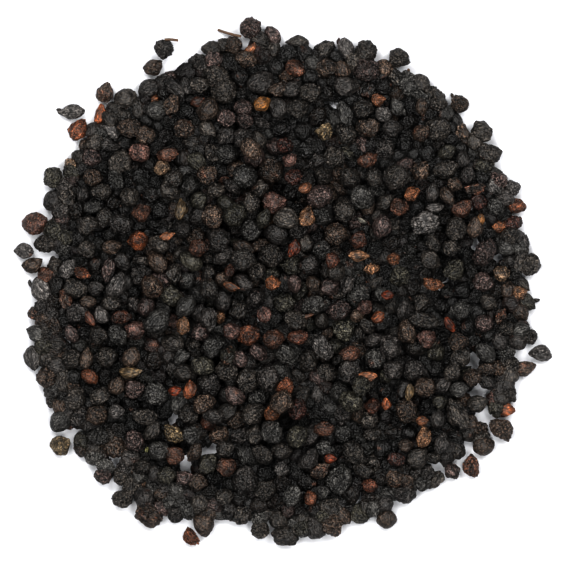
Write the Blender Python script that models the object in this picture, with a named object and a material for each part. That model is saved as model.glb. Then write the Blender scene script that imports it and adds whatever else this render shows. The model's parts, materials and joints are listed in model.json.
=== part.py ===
"""A heap of dried elderberries, poured out on a flat surface: one low mound of heaped
berries, the loose berries that lie round its edge, and the stalks that some still carry.
Run it with blender --background --python part.py. Units are metres, +Z is up."""

import math

import bmesh
import bpy
from mathutils import Matrix, Vector, noise

MM = 0.001

# The mound: its outline is a radius every 15 degrees, counter-clockwise from +X.
OUTLINE_MM = (
    (50, 51, 50, 50.5, 50.5, 50)
    + (50, 50.5, 50.5, 52, 51.5, 54)
    + (54, 55.5, 56, 56, 55.5, 54)
    + (54, 52.5, 52, 53.5, 54, 51.5)
)
CROWN_HEIGHT = 9.0 * MM  # the mound's smooth height in the middle, three berries deep
SHOULDER_HEIGHT = 3.4 * MM  # one berry deep, just inside the edge
EDGE_HEIGHT = 1.9 * MM  # where the mound's side drops to the table
SHOULDER_AT = 0.955  # share of the radius where the shoulder starts to drop
LUMP_HEIGHT = 1.5 * MM  # how far a berry stands out of the mound
LUMP_SPACING = 5.6 * MM  # from one berry in the mound's top layer to the next
LUMP_REACH = 0.62  # share of the spacing from a berry's middle to where its lump ends
GRID_SIDES = 50  # cells along each side of the mound's grid
SLOT_DEGREES = 2.5  # half the narrowest tongue that the mound sends between two berries

GAP = 0.35 * MM  # clearance between any two pieces
BERRY_DETAIL = 2  # icosphere subdivisions: 80 faces
SETTLING_ROUNDS = 60

# Loose berries: (kind, x, y, heading in degrees, length, width), in millimetres.
# A drop's point and a stalk's end face along the heading.
LOOSE_BERRIES = (
    ("plump", -7.9, 55.0, 90, 4.9, 4.6),
    ("oval", -3.1, 53.4, -55, 4.6, 3.1),
    ("plump", -11.6, 51.1, 100, 4.3, 3.8),
    ("oval", -16.3, 50.6, 8, 4.8, 3.1),
    ("plump", -27.0, 50.0, 70, 4.4, 4.2),
    ("drop", -28.9, 46.2, 205, 4.6, 3.5),
    ("oval", -29.9, 42.5, 35, 5.1, 3.7),
    ("oval", -35.2, 39.8, 20, 5.2, 4.0),
    ("split", -39.4, 40.9, 70, 4.7, 3.6),
    ("amber", -40.3, 36.3, 75, 4.5, 2.6),
    ("drop", -46.9, 36.8, 183, 6.0, 3.1),
    ("russet", -45.3, 33.0, 60, 5.3, 3.8),
    ("plump", -50.8, 22.4, 100, 4.6, 4.2),
    ("oval", -51.0, 17.6, 60, 4.9, 3.6),
    ("russet", -54.7, 12.6, 25, 5.7, 4.7),
    ("plump", -52.5, 8.1, 8, 5.4, 3.8),
    ("drop", -57.1, 6.5, 175, 4.4, 3.3),
    ("drop", -55.3, 3.4, 200, 4.8, 3.3),
    ("oval", -53.6, -2.0, 115, 6.0, 4.1),
    ("drop", -54.2, -11.5, -30, 5.2, 3.7),
    ("drop", -55.3, -16.8, 95, 5.6, 3.7),
    ("plump", -52.3, -20.9, 120, 4.8, 4.4),
    ("oval", -49.2, -30.4, 45, 5.4, 4.4),
    ("russet", -49.1, -35.8, 20, 4.6, 4.3),
    ("plump", -40.0, -42.1, 80, 4.1, 3.9),
    ("plump", -35.8, -42.4, 95, 4.4, 3.8),
    ("plump", -35.6, -47.4, 10, 5.0, 3.8),
    ("split", -30.0, -51.0, -20, 6.2, 4.9),
    ("plump", -24.2, -50.7, 60, 3.9, 3.6),
    ("russet", -20.9, -55.8, -50, 4.5, 2.9),
    ("oval", -18.0, -52.9, -60, 5.4, 4.2),
    ("ridged", -9.6, -50.6, 50, 6.0, 4.2),
    ("plump", -5.9, -54.0, 30, 4.1, 4.0),
    ("ridged", -0.5, -55.3, -10, 6.3, 4.5),
    ("plump", 9.7, -52.8, 75, 5.1, 4.8),
    ("drop", 21.6, -51.5, -80, 4.8, 4.3),
    ("plump", 25.8, -46.3, 12, 5.3, 4.1),
    ("ridged", 35.8, -41.1, -55, 4.6, 3.4),
    ("split", 39.9, -40.2, 100, 5.3, 3.5),
    ("oval", 42.8, -35.9, 15, 4.9, 3.9),
    ("plump", 46.7, -31.9, -35, 6.0, 4.3),
    ("amber", 47.2, -28.2, 0, 4.8, 2.9),
    ("ridged", 48.4, -24.5, -30, 4.1, 3.4),
    ("drop", 51.8, -19.1, 10, 5.1, 3.2),
    ("drop", 55.1, -15.6, -8, 5.3, 3.4),
    ("drop", 52.2, -4.7, -40, 4.8, 3.3),
    ("plump", 53.0, 3.5, 75, 5.2, 4.1),
    ("russet", 49.8, 16.4, -5, 4.6, 3.1),
    ("plump", 43.9, 27.6, -15, 5.7, 4.1),
    ("ridged", 42.1, 32.5, 15, 5.3, 4.7),
    ("plump", 37.5, 38.4, -40, 4.2, 3.8),
    ("oval", 29.3, 42.9, -50, 4.8, 3.6),
    ("plump", 24.5, 48.3, -20, 5.1, 4.2),
    ("plump", 17.2, 50.0, -35, 4.9, 4.4),
    ("oval", 12.9, 50.5, -75, 4.9, 3.5),
    ("drop", 2.2, 51.9, -5, 5.3, 3.1),
)

# Stalks: the loose berry that each springs from, then its three points: where it leaves the
# berry, its bend, and its free end, as (x, y, height) in millimetres.
STALKS = (
    (2, (-11.2, 53.5, 2.2), (-12.7, 53.7, 1.4), (-15.0, 54.6, 0.3)),
    (4, (-26.6, 52.45, 2.4), (-25.2, 52.6, 2.2), (-23.7, 52.3, 1.6)),
    (52, (26.4, 46.0, 1.9), (26.5, 45.4, 1.3), (26.2, 44.6, 0.4)),
)
STALK_RADIUS = 0.24 * MM

# How a berry of each kind is shaped: height as a share of its width, how much its heading end
# narrows, and how square its middle is.
SHAPES = {
    "plump": (0.92, 0.10, 0.10),
    "oval": (0.86, 0.16, 0.05),
    "drop": (0.84, 0.62, 0.00),
    "ridged": (0.84, 0.12, 0.30),
    "split": (0.85, 0.14, 0.20),
    "russet": (0.84, 0.22, 0.15),
    "amber": (0.78, 0.34, 0.00),
}
NODE_NAMES = {
    "plump": "plump_berry",
    "oval": "oval_berry",
    "drop": "pointed_berry",
    "ridged": "ridged_berry",
    "split": "split_berry",
    "russet": "unripe_berry",
    "amber": "bare_seed",
}
# Linear colour, and roughness, of each finish.
FINISHES = {
    "ripe": ((0.024, 0.020, 0.019, 1), 0.5),
    "unripe": ((0.16, 0.045, 0.018, 1), 0.55),
    "seed": ((0.33, 0.13, 0.03, 1), 0.5),
    "stalk": ((0.07, 0.045, 0.025, 1), 0.7),
}
FINISH_OF = {"russet": "unripe", "amber": "seed"}


def clear_scene():
    for thing in list(bpy.data.objects):
        bpy.data.objects.remove(thing)


def material(name):
    colour, roughness = FINISHES[name]
    made = bpy.data.materials.get(name) or bpy.data.materials.new(name)
    made.use_nodes = True
    shader = made.node_tree.nodes["Principled BSDF"]
    shader.inputs["Base Color"].default_value = colour
    shader.inputs["Roughness"].default_value = roughness
    shader.inputs["Metallic"].default_value = 0.0
    return made


def add_object(name, bm, finish, smooth=True):
    mesh = bpy.data.meshes.new(name)
    bmesh.ops.recalc_face_normals(bm, faces=bm.faces)
    bm.to_mesh(mesh)
    bm.free()
    if smooth:
        mesh.shade_smooth()
    mesh.materials.append(material(finish))
    made = bpy.data.objects.new(name, mesh)
    bpy.context.scene.collection.objects.link(made)
    return made


def plan_radius(berry, direction):
    """Half the berry's size, seen from above, along a direction in radians."""
    kind, x, y, heading, length, width = berry
    turn = direction - math.radians(heading)
    a, b = length / 2 * MM, width / 2 * MM
    return a * b / math.hypot(b * math.cos(turn), a * math.sin(turn))


def settled_places():
    """The loose berries' centres, with any two that touch eased apart to the clearance."""
    places = [Vector((b[1] * MM, b[2] * MM)) for b in LOOSE_BERRIES]
    for _ in range(SETTLING_ROUNDS):
        for i, first in enumerate(places):
            for j in range(i + 1, len(places)):
                across = places[j] - first
                if across.length > 9 * MM:
                    continue
                way = math.atan2(across.y, across.x)
                reach = plan_radius(LOOSE_BERRIES[i], way) + plan_radius(LOOSE_BERRIES[j], way)
                short = reach + GAP - across.length
                if short > 0:
                    push = across.normalized() * short * 0.5
                    places[i] = places[i] - push
                    places[j] = places[j] + push
                    first = places[i]
    return places


def berry_mesh(kind, length, width):
    """A berry lying along X, its underside at z = 0."""
    height_share, narrowing, squareness = SHAPES[kind]
    bm = bmesh.new()
    bmesh.ops.create_icosphere(bm, subdivisions=BERRY_DETAIL, radius=1.0)
    for v in bm.verts:
        along, side, up = v.co
        slim = 1 - narrowing * max(0.0, along) ** 1.5 - 0.3 * narrowing * max(0.0, -along) ** 3
        square = 1 + squareness * 0.35 * (side * side * up * up)
        v.co = Vector((along, side * slim * square, up * slim * square))
    bmesh.ops.scale(
        bm,
        vec=Vector((length / 2 * MM, width / 2 * MM, width / 2 * MM * height_share)),
        verts=bm.verts,
    )
    lowest = min(v.co.z for v in bm.verts)
    bmesh.ops.translate(bm, vec=Vector((0, 0, -lowest)), verts=bm.verts)
    return bm


def outline_radius(angle):
    """The mound's own radius at an angle in radians, smooth between its values."""
    step = 2 * math.pi / len(OUTLINE_MM)
    place = (angle % (2 * math.pi)) / step
    first = int(place) % len(OUTLINE_MM)
    share = place - int(place)
    ease = share * share * (3 - 2 * share)
    after = OUTLINE_MM[(first + 1) % len(OUTLINE_MM)]
    return (OUTLINE_MM[first] * (1 - ease) + after * ease) * MM


def cleared_radius(angle, places):
    """How far the mound reaches at an angle before it would come too near a loose berry."""
    reach = outline_radius(angle)
    for berry, centre in zip(LOOSE_BERRIES, places):
        away = centre.length
        turn = angle - math.atan2(centre.y, centre.x)
        if math.cos(turn) < 0:
            continue
        facing = math.atan2(centre.y, centre.x) + math.pi
        stand_off = max(plan_radius(berry, facing), plan_radius(berry, facing + math.pi / 2))
        stand_off += GAP * 1.6
        beside = away * math.sin(turn)
        if abs(beside) < stand_off:
            reach = min(reach, away * math.cos(turn) - math.sqrt(stand_off**2 - beside**2))
    return reach


def edge_radii(places, count):
    """The mound's edge at evenly spaced angles, without tongues too narrow for a berry."""
    radii = [cleared_radius(2 * math.pi * i / count, places) for i in range(count)]
    span = max(1, round(math.radians(SLOT_DEGREES) / (2 * math.pi / count)))
    near = range(-span, span + 1)
    narrowed = [min(radii[(i + d) % count] for d in near) for i in range(count)]
    return [max(narrowed[(i + d) % count] for d in near) for i in range(count)]


def mound_height(x, y, share):
    """The mound's top at a point: a dome of berries. share is 0 in the middle, 1 at the edge."""
    dome = SHOULDER_HEIGHT + (CROWN_HEIGHT - SHOULDER_HEIGHT) * (1 - share**2) ** 0.8
    if share > SHOULDER_AT:
        drop = (share - SHOULDER_AT) / (1 - SHOULDER_AT)
        return dome * (1 - drop) + EDGE_HEIGHT * drop
    distances, _ = noise.voronoi(Vector((x, y, 0)) / LUMP_SPACING)
    lump = max(0.0, 1 - (distances[0] / LUMP_REACH) ** 2)
    return dome + LUMP_HEIGHT * math.sqrt(lump)


def disc_point(u, v):
    """A point of the square from -1 to 1, moved to the unit disc."""
    return u * math.sqrt(1 - v * v / 2), v * math.sqrt(1 - u * u / 2)


def heaped_berries(places):
    """The mound: a lumpy dome over a flat underside, one closed solid."""
    count = 360
    radii = edge_radii(places, count)
    bm = bmesh.new()
    bmesh.ops.create_grid(bm, x_segments=GRID_SIDES, y_segments=GRID_SIDES, size=1.0)
    for vertex in bm.verts:
        px, py = disc_point(vertex.co.x, vertex.co.y)
        share = min(1.0, math.hypot(px, py))
        angle = math.atan2(py, px) % (2 * math.pi)
        slot = angle / (2 * math.pi) * count
        low, part = int(slot) % count, slot - int(slot)
        reach = radii[low] * (1 - part) + radii[(low + 1) % count] * part
        x, y = share * reach * math.cos(angle), share * reach * math.sin(angle)
        vertex.co = Vector((x, y, mound_height(x, y, share)))
    rim = [edge for edge in bm.edges if edge.is_boundary]
    wall = bmesh.ops.extrude_edge_only(bm, edges=rim)["geom"]
    for vertex in wall:
        if isinstance(vertex, bmesh.types.BMVert):
            vertex.co.z = 0.0
    foot = [edge for edge in wall if isinstance(edge, bmesh.types.BMEdge)]
    bmesh.ops.contextual_create(bm, geom=foot)
    return add_object("heaped_berries", bm, "ripe")


def loose_berries(places):
    """One object for each loose berry, resting on the table."""
    made, counts = [], {}
    for berry, centre in zip(LOOSE_BERRIES, places):
        kind, _, _, heading, length, width = berry
        counts[kind] = counts.get(kind, 0) + 1
        bm = berry_mesh(kind, length, width)
        turn = Matrix.Rotation(math.radians(heading), 3, "Z")
        bmesh.ops.rotate(bm, matrix=turn, verts=bm.verts)
        name = f"{NODE_NAMES[kind]}_{counts[kind]:02d}"
        thing = add_object(name, bm, FINISH_OF.get(kind, "ripe"))
        thing.location = (centre.x, centre.y, 0.0)
        made.append(thing)
    return made


def stalk(number, points, shift):
    """A thin dry stalk through three points, moved with its berry."""
    curve = bpy.data.curves.new(f"stalk_{number}", "CURVE")
    curve.dimensions = "3D"
    curve.bevel_depth = STALK_RADIUS
    curve.bevel_resolution = 1
    curve.use_fill_caps = True
    spline = curve.splines.new("POLY")
    spline.points.add(len(points) - 1)
    for point, (x, y, z) in zip(spline.points, points):
        point.co = (x * MM + shift.x, y * MM + shift.y, z * MM, 1.0)
    curve.materials.append(material("stalk"))
    made = bpy.data.objects.new(f"stalk_{number}", curve)
    bpy.context.scene.collection.objects.link(made)
    return made


def centre_over_origin(things):
    """Moves every piece so that the origin lies under the middle of them all."""
    bpy.context.view_layer.update()
    corners = [
        thing.matrix_world @ Vector(corner) for thing in things for corner in thing.bound_box
    ]
    middle = [
        (max(c[axis] for c in corners) + min(c[axis] for c in corners)) / 2 for axis in (0, 1)
    ]
    for thing in things:
        thing.location.x -= middle[0]
        thing.location.y -= middle[1]


def main():
    clear_scene()
    places = settled_places()
    things = [heaped_berries(places)]
    things += loose_berries(places)
    for number, (owner, *points) in enumerate(STALKS, start=1):
        berry = LOOSE_BERRIES[owner]
        shift = places[owner] - Vector((berry[1] * MM, berry[2] * MM))
        things.append(stalk(number, points, shift))
    centre_over_origin(things)


main()
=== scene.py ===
# %% [markdown]
# # A heap of dried elderberries
# Elderberries are picked in umbels, stripped and dried. Each berry shrinks from a shiny bead to a
# wrinkled grain three to six millimetres long, and a few handfuls of them poured on a table make a
# low round heap. This lesson builds the heap berry by berry: a Geometry Nodes tree shapes one
# berry, those that stand out are set down at listed places, a rigid-body simulation lets others
# fall round them, and small ones close the gaps below. A second tree then puts the finished
# berries where they came to rest, and one material for each kind of skin colours them. The
# imported model
# gives the frame: the mound's outline and the loose berries round its edge.

import json
import math
import random

import bmesh
import bpy
import numpy as np
from mathutils import Euler, Matrix, Vector
from mathutils.bvhtree import BVHTree
from mathutils.kdtree import KDTree

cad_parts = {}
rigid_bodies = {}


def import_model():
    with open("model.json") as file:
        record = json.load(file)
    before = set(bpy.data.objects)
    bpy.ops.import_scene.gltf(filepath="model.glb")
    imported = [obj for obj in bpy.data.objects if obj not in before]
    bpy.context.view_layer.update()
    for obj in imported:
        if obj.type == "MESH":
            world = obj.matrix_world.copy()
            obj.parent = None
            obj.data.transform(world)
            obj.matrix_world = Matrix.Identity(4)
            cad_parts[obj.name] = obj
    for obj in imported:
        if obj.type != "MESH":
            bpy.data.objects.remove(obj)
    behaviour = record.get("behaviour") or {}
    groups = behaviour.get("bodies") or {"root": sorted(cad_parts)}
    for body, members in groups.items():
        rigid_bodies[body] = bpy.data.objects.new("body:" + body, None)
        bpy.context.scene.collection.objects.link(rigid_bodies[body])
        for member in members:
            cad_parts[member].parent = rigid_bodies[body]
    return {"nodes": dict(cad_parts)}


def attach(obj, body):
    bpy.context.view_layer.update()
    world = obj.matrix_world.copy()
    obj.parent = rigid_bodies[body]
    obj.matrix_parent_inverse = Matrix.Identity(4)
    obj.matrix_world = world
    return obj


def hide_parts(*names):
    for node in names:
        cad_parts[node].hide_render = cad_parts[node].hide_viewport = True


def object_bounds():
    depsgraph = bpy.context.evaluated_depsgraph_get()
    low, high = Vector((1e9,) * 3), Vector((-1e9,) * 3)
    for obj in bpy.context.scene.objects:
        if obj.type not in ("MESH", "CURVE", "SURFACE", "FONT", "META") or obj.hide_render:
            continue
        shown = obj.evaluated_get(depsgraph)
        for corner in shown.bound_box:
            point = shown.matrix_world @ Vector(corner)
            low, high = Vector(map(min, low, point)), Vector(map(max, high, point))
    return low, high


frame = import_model()
cad_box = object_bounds()
MM = 0.001  # metres
print("frame:", len(frame["nodes"]), "nodes, box in mm:",
      [[round(value / MM, 1) for value in corner] for corner in cad_box])

# %% [markdown]
# ## Two small helpers
# Colours are written as the hex values that a paint chart gives, and Blender wants linear light,
# so one function turns the first into the second. Node trees are long to write out by hand: one
# function adds a node, sets it up and links it, and takes another node where its first output
# is meant.


# %% Colour and node helpers
def linear(code):
    """A hex colour such as "#7a4228" as linear red, green, blue and alpha."""
    parts = [int(code[i:i + 2], 16) / 255 for i in (1, 3, 5)]
    return (*(c / 12.92 if c <= 0.04045 else ((c + 0.055) / 1.055) ** 2.4 for c in parts), 1.0)


def add(tree, kind, inputs=None, **settings):
    """Adds a node. inputs maps its sockets' names or numbers to values, sockets or nodes."""
    made = tree.nodes.new(kind)
    for name, value in settings.items():
        setattr(made, name, value)
    for key, value in (inputs or {}).items():
        if isinstance(value, bpy.types.Node):
            value = value.outputs[0]
        if isinstance(value, bpy.types.NodeSocket):
            tree.links.new(value, made.inputs[key])
        else:
            made.inputs[key].default_value = value
    return made


print("white is", linear("#ffffff")[:3])

# %% [markdown]
# ## Camera, light and table
# The heap is looked at from straight above, from so far away that no berry leans: an orthographic
# camera does that. Four soft lights stand round the table, which is topped with a matt pale board.
# They make it as bright as it can be, with hardly a shadow, and the two at the back are a little
# stronger. The room itself is dim, so the gaps between the berries stay black.

# %% Set up the studio
VIEW_HEIGHT = 125 * MM  # what the camera sees from top to bottom
VIEW_CENTRE = Vector((0.10 * MM, -1.24 * MM, 0.0))
CAMERA_DISTANCE = 0.9
# Each light: x and y in metres, then its power in watts.
LIGHTS = ((-0.22, 0.34, 4.9), (0.34, 0.24, 4.55), (0.22, -0.34, 3.3), (-0.34, -0.22, 3.3))
LIGHT_HEIGHT, LIGHT_SIZE = 0.60, 0.34
TABLE_REACH = 1.5  # from the table's middle to its sides


def set_up_camera():
    camera = bpy.data.cameras.new("camera")
    camera.type = "ORTHO"
    camera.ortho_scale = VIEW_HEIGHT
    camera.clip_end = 10
    made = bpy.data.objects.new("camera", camera)
    made.location = VIEW_CENTRE + Vector((0, 0, CAMERA_DISTANCE))
    bpy.context.scene.collection.objects.link(made)
    bpy.context.scene.camera = made


def add_light(name, place, power):
    """A square area light at place, facing the heap."""
    light = bpy.data.lights.new(name, "AREA")
    light.size = LIGHT_SIZE
    light.energy = power
    light.color = linear("#fffdfb")[:3]
    made = bpy.data.objects.new(name, light)
    made.location = place
    made.rotation_euler = (-Vector(place)).to_track_quat("-Z", "Y").to_euler()
    bpy.context.scene.collection.objects.link(made)


def set_up_room():
    world = bpy.data.worlds.new("room")
    world.use_nodes = True
    world.node_tree.nodes["Background"].inputs["Color"].default_value = linear("#dde6ff")
    world.node_tree.nodes["Background"].inputs["Strength"].default_value = 0.01
    bpy.context.scene.world = world
    bpy.context.scene.view_settings.view_transform = "Standard"
    bpy.context.scene.view_settings.gamma = 0.7  # a steep tone curve: deep blacks, clear lights


def set_up_table():
    bm = bmesh.new()
    bmesh.ops.create_grid(bm, x_segments=1, y_segments=1, size=TABLE_REACH)
    mesh = bpy.data.meshes.new("table")
    bm.to_mesh(mesh)
    bm.free()
    # Uncoated board scatters the light evenly, so it mirrors neither lights nor berries.
    paint = bpy.data.materials.new("matt_pale_board")
    paint.use_nodes = True
    shader = paint.node_tree.nodes["Principled BSDF"]
    shader.inputs["Base Color"].default_value = linear("#d6d8dc")
    shader.inputs["Roughness"].default_value = 0.9
    mesh.materials.append(paint)
    table = bpy.data.objects.new("table", mesh)
    bpy.context.scene.collection.objects.link(table)


set_up_camera()
set_up_room()
set_up_table()
for number, (x, y, power) in enumerate(LIGHTS, 1):
    add_light(f"softbox_{number}", (x, y, LIGHT_HEIGHT), power)
print("camera sees", round(VIEW_HEIGHT / MM), "mm from top to bottom;", len(LIGHTS), "lights")

# %% [markdown]
# ## The shape of one berry
# A dried elderberry is a ball that has lost its juice. It is a little longer than wide, may narrow
# towards its tip, and its skin falls in: into lengthwise lobes over the three to five seeds, or
# into a net of creases. Some have a small ring at the tip, what is left of the flower. A cube
# whose faces are pushed out to a ball has no poles, so it creases evenly everywhere. The tree
# moves its points by a sum of simple patterns, each with an input of its own.

# %% Name the berry's inputs
BERRY_INPUTS = (
    ("Detail", "NodeSocketInt", 11),  # points along each side of the cube
    ("Length", "NodeSocketFloat", 4.4 * MM),
    ("Width", "NodeSocketFloat", 3.8 * MM),
    ("Height", "NodeSocketFloat", 3.5 * MM),
    ("Point", "NodeSocketFloat", 0.1),  # how much the +X end narrows
    ("Lumps", "NodeSocketFloat", 0.1),  # wide dents and swellings, as a share of the radius
    ("Lobes", "NodeSocketInt", 3),  # lengthwise lobes
    ("Lobe depth", "NodeSocketFloat", 0.1),
    ("Facets", "NodeSocketFloat", 0.2),  # how far the skin sinks in between its ridges
    ("Creases", "NodeSocketFloat", 1.6),  # cells of the crease net along the berry
    ("Crease depth", "NodeSocketFloat", 0.1),
    ("Ring", "NodeSocketFloat", 0.0),  # height of the ring at the +X end
    ("Bend", "NodeSocketFloat", 0.0),
    ("Seed", "NodeSocketFloat", 1.0),
)


def new_tree(name, inputs):
    """A Geometry Nodes tree with named inputs and one geometry output."""
    tree = bpy.data.node_groups.new(name, "GeometryNodeTree")
    for title, kind, value in inputs:
        socket = tree.interface.new_socket(title, in_out="INPUT", socket_type=kind)
        if value is not None:
            socket.default_value = value
    tree.interface.new_socket("Result", in_out="OUTPUT", socket_type="NodeSocketGeometry")
    return tree


print(len(BERRY_INPUTS), "inputs shape a berry")


# %% Build the berry tree
def berry_tree():
    tree = new_tree("dried_berry", BERRY_INPUTS)
    given = add(tree, "NodeGroupInput").outputs
    cube = add(tree, "GeometryNodeMeshCube", {
        "Size": (2, 2, 2), "Vertices X": given["Detail"],
        "Vertices Y": given["Detail"], "Vertices Z": given["Detail"]})
    mapped = add(tree, "GeometryNodeStoreNamedAttribute", {
        "Geometry": cube, "Name": "patch", "Value": cube.outputs["UV Map"]},
        data_type="FLOAT2", domain="CORNER")

    # The cube's points, spread evenly over a ball of radius 1.
    place = add(tree, "GeometryNodeInputPosition")
    quarter = add(tree, "ShaderNodeVectorMath", {0: place, 1: (math.pi / 4,) * 3},
                  operation="MULTIPLY")
    spread = add(tree, "ShaderNodeVectorMath", {0: quarter}, operation="TANGENT")
    ball = add(tree, "ShaderNodeVectorMath", {0: spread}, operation="NORMALIZE")
    axes = add(tree, "ShaderNodeSeparateXYZ", {0: ball}).outputs

    # A vector that differs from berry to berry moves every random pattern.
    chance = add(tree, "ShaderNodeVectorMath", {0: (7.3, 3.1, 5.7), "Scale": given["Seed"]},
                 operation="SCALE")
    own = add(tree, "ShaderNodeVectorMath", {0: ball, 1: chance}, operation="ADD")

    # Wide lumps.
    lump = add(tree, "ShaderNodeTexNoise", {"Vector": own, "Scale": 1.25, "Detail": 1.0})
    lump = add(tree, "ShaderNodeMath", {0: lump, 1: 0.5}, operation="SUBTRACT")
    lump = add(tree, "ShaderNodeMath", {0: lump, 1: given["Lumps"]}, operation="MULTIPLY")
    total = add(tree, "ShaderNodeMath", {0: lump, 1: 2.0, 2: 1.0}, operation="MULTIPLY_ADD")

    # Lengthwise lobes: a rounded swelling and a sharp groove, warped so that none is straight.
    angle = add(tree, "ShaderNodeMath", {0: axes["Z"], 1: axes["Y"]}, operation="ARCTAN2")
    half = add(tree, "ShaderNodeMath", {0: given["Lobes"], 1: 0.5}, operation="MULTIPLY")
    warp = add(tree, "ShaderNodeTexNoise", {"Vector": own, "Scale": 1.6, "Detail": 1.0})
    warp = add(tree, "ShaderNodeMath", {0: warp, 1: 1.6}, operation="MULTIPLY")
    swing = add(tree, "ShaderNodeMath", {0: angle, 1: half, 2: warp}, operation="MULTIPLY_ADD")
    lobe = add(tree, "ShaderNodeMath", {0: swing}, operation="COSINE")
    lobe = add(tree, "ShaderNodeMath", {0: lobe}, operation="ABSOLUTE")
    lobe = add(tree, "ShaderNodeMath", {0: lobe, 1: 0.5}, operation="POWER")
    lobe = add(tree, "ShaderNodeMath", {0: lobe, 1: 0.75}, operation="SUBTRACT")
    end = add(tree, "ShaderNodeMath", {0: axes["X"], 1: axes["X"]}, operation="MULTIPLY")
    middle = add(tree, "ShaderNodeMath", {0: 1.0, 1: end}, operation="SUBTRACT")
    lobe = add(tree, "ShaderNodeMath", {0: lobe, 1: middle}, operation="MULTIPLY")
    total = add(tree, "ShaderNodeMath", {0: lobe, 1: given["Lobe depth"], 2: total},
                operation="MULTIPLY_ADD")

    # Facets: the skin sinks in flat between a few ridges, which run more along than across.
    drawn = add(tree, "ShaderNodeVectorMath", {0: ball, 1: (0.62, 1.0, 1.0)},
                operation="MULTIPLY")
    drawn = add(tree, "ShaderNodeVectorMath", {0: drawn, 1: chance}, operation="ADD")
    facet = add(tree, "ShaderNodeTexVoronoi", {"Vector": drawn, "Scale": 1.15,
                                               "Smoothness": 0.12}, feature="SMOOTH_F1")
    facet = add(tree, "ShaderNodeMath", {0: facet, 1: 2.0}, operation="POWER")
    facet = add(tree, "ShaderNodeMath", {0: facet, 1: 0.3}, operation="SUBTRACT")
    total = add(tree, "ShaderNodeMath", {0: facet, 1: given["Facets"], 2: total},
                operation="MULTIPLY_ADD")

    # A net of creases, drawn out in the same way.
    wander = add(tree, "ShaderNodeTexNoise", {"Vector": own, "Scale": 2.2, "Detail": 1.0})
    wander = add(tree, "ShaderNodeVectorMath", {0: wander.outputs["Color"], "Scale": 0.5},
                 operation="SCALE")
    drawn = add(tree, "ShaderNodeVectorMath", {0: drawn, 1: wander}, operation="ADD")
    net = add(tree, "ShaderNodeTexVoronoi", {"Vector": drawn, "Scale": given["Creases"]},
              feature="DISTANCE_TO_EDGE")
    net = add(tree, "ShaderNodeMapRange", {"Value": net, "From Max": 0.28, "To Min": -1.0,
                                           "To Max": 0.0}, interpolation_type="SMOOTHSTEP")
    total = add(tree, "ShaderNodeMath", {0: net, 1: given["Crease depth"], 2: total},
                operation="MULTIPLY_ADD")

    # The ring that the flower leaves, and the pit inside it, at the +X end.
    side = add(tree, "ShaderNodeMath", {0: middle}, operation="SQRT")
    front = add(tree, "ShaderNodeMath", {0: axes["X"], 1: 0.0}, operation="GREATER_THAN")
    ring = add(tree, "ShaderNodeMapRange", {"Value": side, "From Min": 0.14, "From Max": 0.34},
               interpolation_type="SMOOTHSTEP")
    fall = add(tree, "ShaderNodeMapRange", {"Value": side, "From Min": 0.34, "From Max": 0.52,
                                            "To Min": 1.0, "To Max": 0.0},
               interpolation_type="SMOOTHSTEP")
    ring = add(tree, "ShaderNodeMath", {0: ring, 1: fall}, operation="MULTIPLY")
    pit = add(tree, "ShaderNodeMapRange", {"Value": side, "From Max": 0.3, "To Min": -1.2,
                                           "To Max": 0.0})
    ring = add(tree, "ShaderNodeMath", {0: ring, 1: pit}, operation="ADD")
    ring = add(tree, "ShaderNodeMath", {0: ring, 1: front}, operation="MULTIPLY")
    total = add(tree, "ShaderNodeMath", {0: ring, 1: given["Ring"], 2: total},
                operation="MULTIPLY_ADD")

    # The narrowing towards the point, and a little at the other end.
    ahead = add(tree, "ShaderNodeMath", {0: axes["X"], 1: 0.0}, operation="MAXIMUM")
    ahead = add(tree, "ShaderNodeMath", {0: ahead, 1: 1.6}, operation="POWER")
    behind = add(tree, "ShaderNodeMath", {0: axes["X"], 1: -1.0}, operation="MULTIPLY")
    behind = add(tree, "ShaderNodeMath", {0: behind, 1: 0.0}, operation="MAXIMUM")
    behind = add(tree, "ShaderNodeMath", {0: behind, 1: 3.0}, operation="POWER")
    narrow = add(tree, "ShaderNodeMath", {0: behind, 1: 0.35, 2: ahead},
                 operation="MULTIPLY_ADD")
    narrow = add(tree, "ShaderNodeMath", {0: narrow, 1: given["Point"]}, operation="MULTIPLY")
    slim = add(tree, "ShaderNodeMath", {0: 1.0, 1: narrow}, operation="SUBTRACT")

    # The sizes, and the bend.
    shape = add(tree, "ShaderNodeCombineXYZ", {0: 1.0, 1: slim, 2: slim})
    sizes = add(tree, "ShaderNodeCombineXYZ", {0: given["Length"], 1: given["Width"],
                                               2: given["Height"]})
    sizes = add(tree, "ShaderNodeVectorMath", {0: sizes, "Scale": 0.5}, operation="SCALE")
    moved = add(tree, "ShaderNodeVectorMath", {0: ball, "Scale": total.outputs[0]},
                operation="SCALE")
    moved = add(tree, "ShaderNodeVectorMath", {0: moved, 1: shape}, operation="MULTIPLY")
    moved = add(tree, "ShaderNodeVectorMath", {0: moved, 1: sizes}, operation="MULTIPLY")
    bend = add(tree, "ShaderNodeMath", {0: end, 1: given["Bend"]}, operation="MULTIPLY")
    bend = add(tree, "ShaderNodeMath", {0: bend, 1: given["Width"]}, operation="MULTIPLY")
    bend = add(tree, "ShaderNodeCombineXYZ", {1: bend})
    moved = add(tree, "ShaderNodeVectorMath", {0: moved, 1: bend}, operation="ADD")
    shaped = add(tree, "GeometryNodeSetPosition", {"Geometry": mapped, "Position": moved})

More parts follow.
